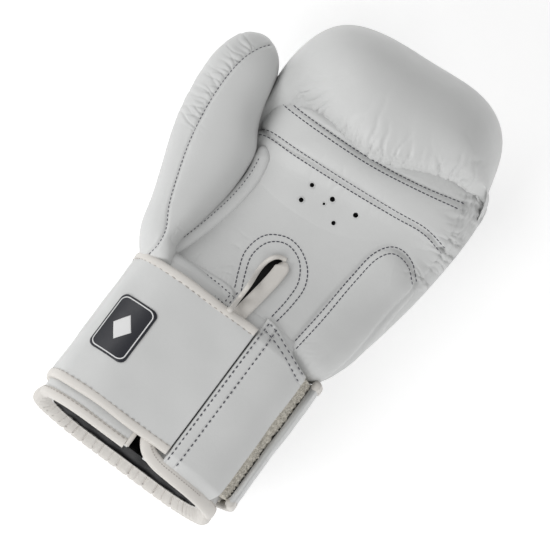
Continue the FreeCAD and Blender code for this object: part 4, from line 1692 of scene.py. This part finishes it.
@dataclass
class Strap:
    """The wrap strap: leather web, two bound edges and a patch, in four pieces, one for each hinge."""

    root: float = 21.0
    turns: tuple = (50.0, 105.0, 160.0, 215.0)
    end: float = 290.0
    near: float = -5.0
    far: float = -99.0
    low: float = 2.6
    high: float = 6.6
    binding: float = 6.4
    bend_reach: float = 3.4

    def stretches(self) -> list[tuple[float, float, float]]:
        """Start, stop and hinge length of each piece, from mid-stretch to mid-stretch.

        Returns:
            One row for each piece.
        """
        hinges = [CUFF.at_turn(turn) for turn in self.turns]
        middles = [(a + b) / 2 for a, b in zip(hinges[:-1], hinges[1:])]
        starts = [CUFF.on_flat(self.root)] + middles
        stops = middles + [CUFF.at_turn(self.end)]
        return list(zip(starts, stops, hinges))

    def lift(self, length: Array) -> Array:
        """How far the strap stands off its pattern: pulled in round the thumb's side, and standing
        away near its free end.

        Args:
            length: lengths round the cuff.

        Returns:
            Millimetres, one for each length.
        """
        tight = smooth_step(length, CUFF.at_turn(43.0), CUFF.at_turn(75.0))
        tight = tight * (1 - smooth_step(length, CUFF.at_turn(120.0), CUFF.at_turn(150.0)))
        return 4.6 * smooth_step(length, CUFF.at_turn(245.0), CUFF.at_turn(284.0)) - 3.4 * tight

    def build(self, finishes: Finishes) -> list[bpy.types.Object]:
        """Builds the strap's pieces, each over its own hinge.

        Args:
            finishes: every finish of the glove.

        Returns:
            The strap's pieces.
        """
        made = []
        for number, (start, stop, hinge) in enumerate(self.stretches(), 1):
            steps = max(int((stop - start) / 0.8), 30)
            web = flat_section(self.near - 3.0, self.far + 3.0, self.low, self.high, 70, 1.0)
            length = np.linspace(start, stop, steps)
            ribbon = Ribbon(start, stop, steps, web)
            calm = ribbon.grid()
            relief = Waves(0.28, 32.0, 10).height(calm) + self.lift(length)[:, None]
            pieces = [(add_tube("strap_leather_%d" % number, ribbon.grid(relief), finishes.strap),
                       "strap_leather", "strap_web_%d")]
            for side, along in (("hand", self.near - 3.0), ("wrist", self.far + 3.0)):
                tube = surface_tube(length, (self.low + self.high) / 2 + 0.1 + self.lift(length),
                                    along + 0.25 * np.sin(length / 7.0), self.binding / 2, 2.75, 22)
                name = "strap_binding_%s_%d" % (side, number)
                pieces.append((add_tube(name, tube, finishes.trim), "binding", "strap_edge_" + side + "_%d"))
            for piece, name, node in pieces:
                self.bend(piece, hinge)
                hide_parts(node % number)
                if number == 4:
                    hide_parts(node % 5)
                made.append(piece)
        return made

    def bend(self, piece: bpy.types.Object, hinge: float) -> None:
        """Bakes a strap piece's transform into its mesh.

        Args:
            piece: the strap piece.
            hinge: length round the cuff at the hinge.
        """
        ends = [to_row(CUFF.place(hinge + step, self.high, -52.0)) for step in
                (-self.bend_reach, self.bend_reach)]
        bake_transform(piece)

    def sew(self) -> list[tuple[int, Array, Array]]:
        """Stitch lines along both bindings: piece number, points and normals.

        Returns:
            One row for each line of stitches.
        """
        lines = []
        for number, (start, stop, _) in enumerate(self.stretches(), 1):
            for along, height in ((self.near - 5.2, self.high + 0.35), (self.far + 5.2, self.high + 0.35)):
                length = np.arange(start + 1.0, stop - 1.0, 4.2)
                slant = np.where(np.arange(len(length)) % 2 == 0, 0.25, -0.25)
                points = CUFF.place(length, height + self.lift(length), along + slant)
                lines.append((number, points, CUFF.out(length)))
        return lines


@dataclass
class Patch:
    """Dark rounded patch on the strap with a pale border line and a plain lozenge."""

    turn: float = 26.0
    middle: float = -52.5
    width: float = 24.0
    height: float = 38.0
    corner: float = 4.0

    def outline(self, inset: float, count: int = 200) -> Array:
        """Rounded rectangle as offsets round the cuff and along it.

        Args:
            inset: how far inside the edge.
            count: points on the outline.

        Returns:
            Rows of the outline.
        """
        w, h = self.width / 2 - inset - self.corner, self.height / 2 - inset - self.corner
        angle = np.linspace(0, 2 * math.pi, 97) + 1e-3
        line = np.stack([np.sign(np.cos(angle)) * w + self.corner * np.cos(angle),
                         np.sign(np.sin(angle)) * h + self.corner * np.sin(angle)], axis=-1)
        gone = np.concatenate([[0.0], np.cumsum(np.linalg.norm(np.diff(line, axis=0), axis=1))])
        evenly = np.linspace(0.0, gone[-1], count, endpoint=False)
        return np.stack([np.interp(evenly, gone, line[:, k]) for k in range(2)], axis=-1)

    def build(self, finishes: Finishes) -> list[bpy.types.Object]:
        """Builds the patch, its border and its lozenge on the strap's first stretch.

        Args:
            finishes: every finish of the glove.

        Returns:
            Patch, border and lozenge.
        """
        centre = CUFF.at_turn(self.turn)
        ring = self.outline(0.0)
        rows = [(share, 0.9) for share in np.linspace(0.02, 0.975, 22)] + [(1.0, 0.55), (1.0, -0.6)]
        grid = np.stack([CUFF.place(centre + share * ring[:, 0], 6.75 + rise,
                                    self.middle + share * ring[:, 1])
                         for share, rise in rows])
        base = add_tube("strap_patch", grid, finishes.patch)
        line = np.vstack([self.outline(1.5), self.outline(1.5)[:1]])
        border = surface_tube(centre + line[:, 0], 7.62 + 0 * line[:, 0], self.middle + line[:, 1],
                              0.42, 0.22, 6)
        edge = add_tube("strap_patch_border", border, finishes.patch_edge)
        corners = np.array([(0.0, 9.0), (-6.0, 0.0), (0.0, -9.0), (6.0, 0.0), (0.0, 9.0)])
        bar = np.vstack([a + (b - a) * np.linspace(0, 1, 12, endpoint=False)[:, None]
                         for a, b in zip(corners[:-1], corners[1:])])
        rows = [(share, 0.3) for share in np.linspace(0.02, 0.96, 8)] + [(1.0, 0.0)]
        grid = np.stack([CUFF.place(centre + share * bar[:, 0], 7.55 + rise, self.middle + share * bar[:, 1])
                         for share, rise in rows])
        lozenge = add_tube("strap_patch_lozenge", grid, finishes.patch_edge)
        for piece in (base, edge, lozenge):
            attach(piece, "strap_1")
        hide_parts("label_patch")
        return [base, edge, lozenge]


# --- stitching on the mitt -------------------------------------------------------------------

@dataclass
class MittStitches:
    """Seam lines of the palm as cutting-plane marks, sewn with dark thread."""

    pitch: float = 2.7

    def rows(self) -> list[tuple[tuple, float]]:
        """Marks and gap share of each line on the palm.

        Returns:
            One row for each line.
        """
        return [
            (((-43.0, 252.5), (-38.0, 251.0), (-20.0, 248.5), (20.0, 246.5), (55.0, 248.5),
              (82.0, 253.0)), 0.12),
            (((-45.0, 248.6), (-40.0, 247.4), (-20.0, 245.0), (20.0, 243.0), (55.0, 245.2),
              (83.0, 248.6)), 0.12),
            (((-47.0, 228.6), (-43.0, 230.0), (-20.0, 228.8), (20.0, 227.6), (50.0, 227.6), (70.0, 228.0),
              (86.0, 224.0)), 0.12),
            (((-47.0, 224.8), (-43.0, 226.2), (-20.0, 224.8), (20.0, 223.8), (50.0, 224.0), (70.0, 224.4),
              (86.0, 220.0)), 0.12),
            (((-11.0, 137.5), (-14.5, 148.0), (-17.0, 160.0), (-12.0, 174.0), (0.0, 180.0), (10.0, 178.5),
              (20.0, 171.0), (25.0, 160.0), (24.0, 146.0), (21.0, 133.0)), 0.1),
            (((-6.5, 137.5), (-10.0, 148.0), (-12.4, 160.0), (-8.0, 171.5), (2.0, 176.4), (13.0, 172.5),
              (20.0, 161.0), (19.8, 148.0), (17.0, 134.0)), 0.1),
            (((36.0, 126.0), (41.0, 150.0), (46.0, 180.0), (50.5, 199.0), (57.0, 207.5), (64.0, 209.5),
              (73.0, 206.5), (82.0, 197.5)), 0.12),
            (((39.5, 125.0), (44.5, 149.0), (49.5, 179.0), (54.0, 197.5), (59.5, 204.2), (66.0, 205.0),
              (73.5, 202.0), (80.5, 194.5)), 0.12),
            (((-60.0, 128.5), (-50.0, 133.5), (-38.0, 136.0), (-22.0, 135.0), (-8.0, 132.5)), 0.5),
            (((-60.0, 122.0), (-50.0, 126.5), (-38.0, 129.0), (-22.0, 128.0), (-9.0, 125.5)), 0.5),
            (((-8.0, 137.0), (-8.6, 131.0), (-9.2, 124.0)), 0.45),
            (((-11.2, 133.0), (-12.0, 124.0)), 0.45),
        ]

    def sew(self, sewing: Sewing, palm: Ground) -> None:
        """Sews every palm line."""
        for marks, gap in self.rows():
            sewing.along("dark", palm, marks, self.pitch, 0.34, gap)


@dataclass
class VentPits:
    """Dark pits and small rims of the palm's vent holes."""

    def build(self, finishes: Finishes, palm: Ground) -> list[bpy.types.Object]:
        """Builds all pits as one piece and all rims as another.

        Args:
            finishes: every finish of the glove.
            palm: the palm leather.

        Returns:
            The pits and the rims.
        """
        pits, rims = [], []
        angle = np.linspace(0, 2 * math.pi, 24, endpoint=False)
        ring = np.stack([np.cos(angle), np.sin(angle)], axis=-1)
        for (x, y), radius in Vents.holes:
            centre, _ = palm.under(np.array([[x + 2.6 * radius, y]]))
            base = centre[0] + np.array([-2.6 * radius, 0.0, 0.0])
            levels = ((1.0, -0.25), (1.02, -1.6), (0.9, -4.5), (0.02, -4.6))
            pits.append(np.stack([base + share * radius * 1.25 * (ring[:, :1] * [1.0, 0, 0] + ring[:, 1:]
                                                                * PLANE_ALONG) + deep * PLANE_UP
                                  for share, deep in levels]))
            path = base + radius * 1.12 * (ring[:, :1] * [1.0, 0, 0] + ring[:, 1:] * PLANE_ALONG)
            path = path + 0.02 * PLANE_UP
            rims.append(self.rim(path))
        made = []
        for name, grids, finish in (("vent_pits", pits, finishes.lining),
                                    ("vent_rims", rims, finishes.shell)):
            closed = name == "vent_rims"
            faces, before = [], 0
            for grid in grids:
                part = grid_faces(grid.shape[0], grid.shape[1], close_rows=closed, close_columns=True)
                faces.append(part + before)
                before += grid.shape[0] * grid.shape[1]
            points = np.vstack([grid.reshape(-1, 3) for grid in grids])
            piece = add_piece(name, points, np.vstack(faces), finish)
            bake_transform(piece)
            made.append(piece)
        return made

    @staticmethod
    def rim(path: Array) -> Array:
        """Closed small tube round a hole.

        Args:
            path: rows of the centre line.

        Returns:
            Layout points, ring by ring.
        """
        along = np.roll(path, -1, axis=0) - np.roll(path, 1, axis=0)
        along /= np.linalg.norm(along, axis=1, keepdims=True)
        side = np.cross(along, PLANE_UP)
        angle = np.linspace(0, 2 * math.pi, 8, endpoint=False)
        return (path[:, None] + 0.34 * np.cos(angle)[None, :, None] * side[:, None]
                + 0.26 * np.sin(angle)[None, :, None] * PLANE_UP)


# --- studio ----------------------------------------------------------------------------------

@dataclass
class Studio:
    """Pale ground, soft lights and a long lens looking down the cutting plane's normal."""

    distance: float = 3.0
    width: float = 0.331
    turn: float = 31.0
    middle: tuple = (5.8, 156.8)
    level: float = 60.0

    def build(self) -> None:
        """Adds the ground, the lights, the world and the camera."""
        self.ground()
        self.lights()
        self.camera()

    def ground(self) -> None:
        """A flat pale floor under the glove."""
        book = NodeBook("studio_ground")
        book.shader.inputs["Base Color"].default_value = (0.9, 0.9, 0.9, 1.0)
        book.shader.inputs["Roughness"].default_value = 0.9
        book.shader.inputs["Specular IOR Level"].default_value = 0.1
        book.shader.inputs["Emission Color"].default_value = (1.0, 1.0, 1.0, 1.0)
        book.shader.inputs["Emission Strength"].default_value = 0.36
        half = 6.0
        corners = np.array([[-half, -half, 0.0], [half, -half, 0.0], [half, half, 0.0], [-half, half, 0.0]])
        mesh = bpy.data.meshes.new("studio_ground")
        mesh.from_pydata(corners.tolist(), [], [(0, 1, 2, 3)])
        mesh.materials.append(book.material)
        floor = bpy.data.objects.new("studio_ground", mesh)
        bpy.context.scene.collection.objects.link(floor)

    def lights(self) -> None:
        """Soft boxes at the wrist, on the thumb's side and on the far side, in an even pale world."""
        for name, place, size, power in (
            ("soft_box_wrist", (-0.9, -1.9, 1.5), 1.3, 26.0),
            ("soft_box_thumb_side", (-1.9, 0.4, 1.3), 1.3, 12.0),
            ("soft_box_far_side", (1.6, -0.5, 1.6), 1.3, 8.0),
        ):
            lamp = bpy.data.lights.new(name, "AREA")
            lamp.size = size
            lamp.energy = power
            box = bpy.data.objects.new(name, lamp)
            box.location = place
            box.rotation_euler = (-Vector(place)).to_track_quat("-Z", "Y").to_euler()
            bpy.context.scene.collection.objects.link(box)
        world = bpy.data.worlds.new("studio_world")
        world.use_nodes = True
        shade = world.node_tree.nodes["Background"]
        shade.inputs["Color"].default_value = (1.0, 1.0, 1.0, 1.0)
        shade.inputs["Strength"].default_value = 0.45
        bpy.context.scene.world = world
        bpy.context.scene.view_settings.view_transform = "Standard"

    def camera(self) -> None:
        """Looks straight down the plane's normal, turned so the fingers point up to the right."""
        turn = math.radians(self.turn)
        across = np.array([1.0, 0.0, 0.0])
        right = math.cos(turn) * across + math.sin(turn) * PLANE_ALONG
        up = math.cos(turn) * PLANE_ALONG - math.sin(turn) * across
        target = to_row(off_plane(np.array(self.middle), self.level))
        lens = bpy.data.cameras.new("studio_camera")
        lens.sensor_width = 36.0
        lens.lens = 36.0 * self.distance / self.width
        lens.clip_end = 50.0
        camera = bpy.data.objects.new("studio_camera", lens)
        matrix = Matrix.Identity(4)
        for column, axis in enumerate((right, up, PLANE_UP)):
            for row in range(3):
                matrix[row][column] = float(axis[row])
        place = target + self.distance * PLANE_UP
        for row in range(3):
            matrix[row][3] = float(place[row])
        camera.matrix_world = matrix
        bpy.context.scene.collection.objects.link(camera)
        bpy.context.scene.camera = camera


# --- the whole glove -------------------------------------------------------------------------

def sew_strap(strap: Strap, finishes: Finishes) -> None:
    """Makes the strap's stitches, one piece for each stretch.

    Args:
        strap: the wrap strap.
        finishes: every finish of the glove.
    """
    hinges = [hinge for _, _, hinge in strap.stretches()]
    sewing = Sewing()
    for number, points, normals in strap.sew():
        sewing.add("stretch_%d" % number, points, normals, 0.28, 0.4)
    for number, hinge in enumerate(hinges, 1):
        piece = sewing.piece("stretch_%d" % number, "strap_stitches_%d" % number, finishes.pale_thread)
        strap.bend(piece, hinge)


def main() -> None:
    """Builds the glove, dresses it and sets up the studio."""
    logging.basicConfig(level=logging.INFO, format="%(message)s")
    finishes = Finishes()
    shell, palm_piece = Mitt().build(finishes)
    for piece in (shell, palm_piece):
        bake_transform(piece)
    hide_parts("hand_back_leather", "finger_back_leather", "fingertip_leather", "finger_pad",
                "hand_back_pad", "grip_bar")
    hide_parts("hand_palm_leather", "heel_pad_cover", "heel_pad_foam", "hand_palm_pad",
                "grip_band")
    thumb = Thumb()
    thumb_piece = thumb.build(finishes)
    palm = Ground([palm_piece])
    roll = GussetRoll()
    roll_piece = roll.build(finishes, palm)
    VentPits().build(finishes, palm)
    cuff = Cuff()
    cuff.build(finishes, palm)
    panel = SidePanel()
    panel.build(finishes)
    LoopTape().build(finishes)
    strap = Strap()
    strap.build(finishes)
    Patch().build(finishes)
    sewing = Sewing()
    MittStitches().sew(sewing, palm)
    mitt_thread = sewing.piece("dark", "palm_stitches", finishes.thread)
    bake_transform(mitt_thread)
    thumb_sewing = Sewing()
    thumb_ground = Ground([thumb_piece])
    thumb_sewing.along("dark", thumb_ground, thumb.seam, 2.6, 0.26, 0.3)
    thumb_thread = thumb_sewing.piece("dark", "thumb_stitches", finishes.thread)
    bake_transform(thumb_thread)
    roll_sewing = Sewing()
    roll_sewing.along("dark", Ground([roll_piece]), roll.stitches, 2.6, 0.26, 0.45)
    roll_thread = roll_sewing.piece("dark", "gusset_stitches", finishes.thread)
    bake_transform(roll_thread)
    cuff_sewing = Sewing()
    panel.sew(cuff_sewing)
    cuff.sew(cuff_sewing)
    for key, name, finish in (("dark", "panel_stitches", finishes.thread),
                              ("pale", "rim_stitches", finishes.pale_thread)):
        piece = cuff_sewing.piece(key, name, finish)
        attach(piece, "hand")
    sew_strap(strap, finishes)
    for node, finish in (("hand_lining", finishes.lining), ("finger_lining", finishes.lining),
                         ("thumb_lining", finishes.lining), ("hook_patch", finishes.pile)):
        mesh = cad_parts[node].data
        mesh.materials.clear()
        mesh.materials.append(finish)
    Studio().build()


if __name__ == "__main__":
    main()
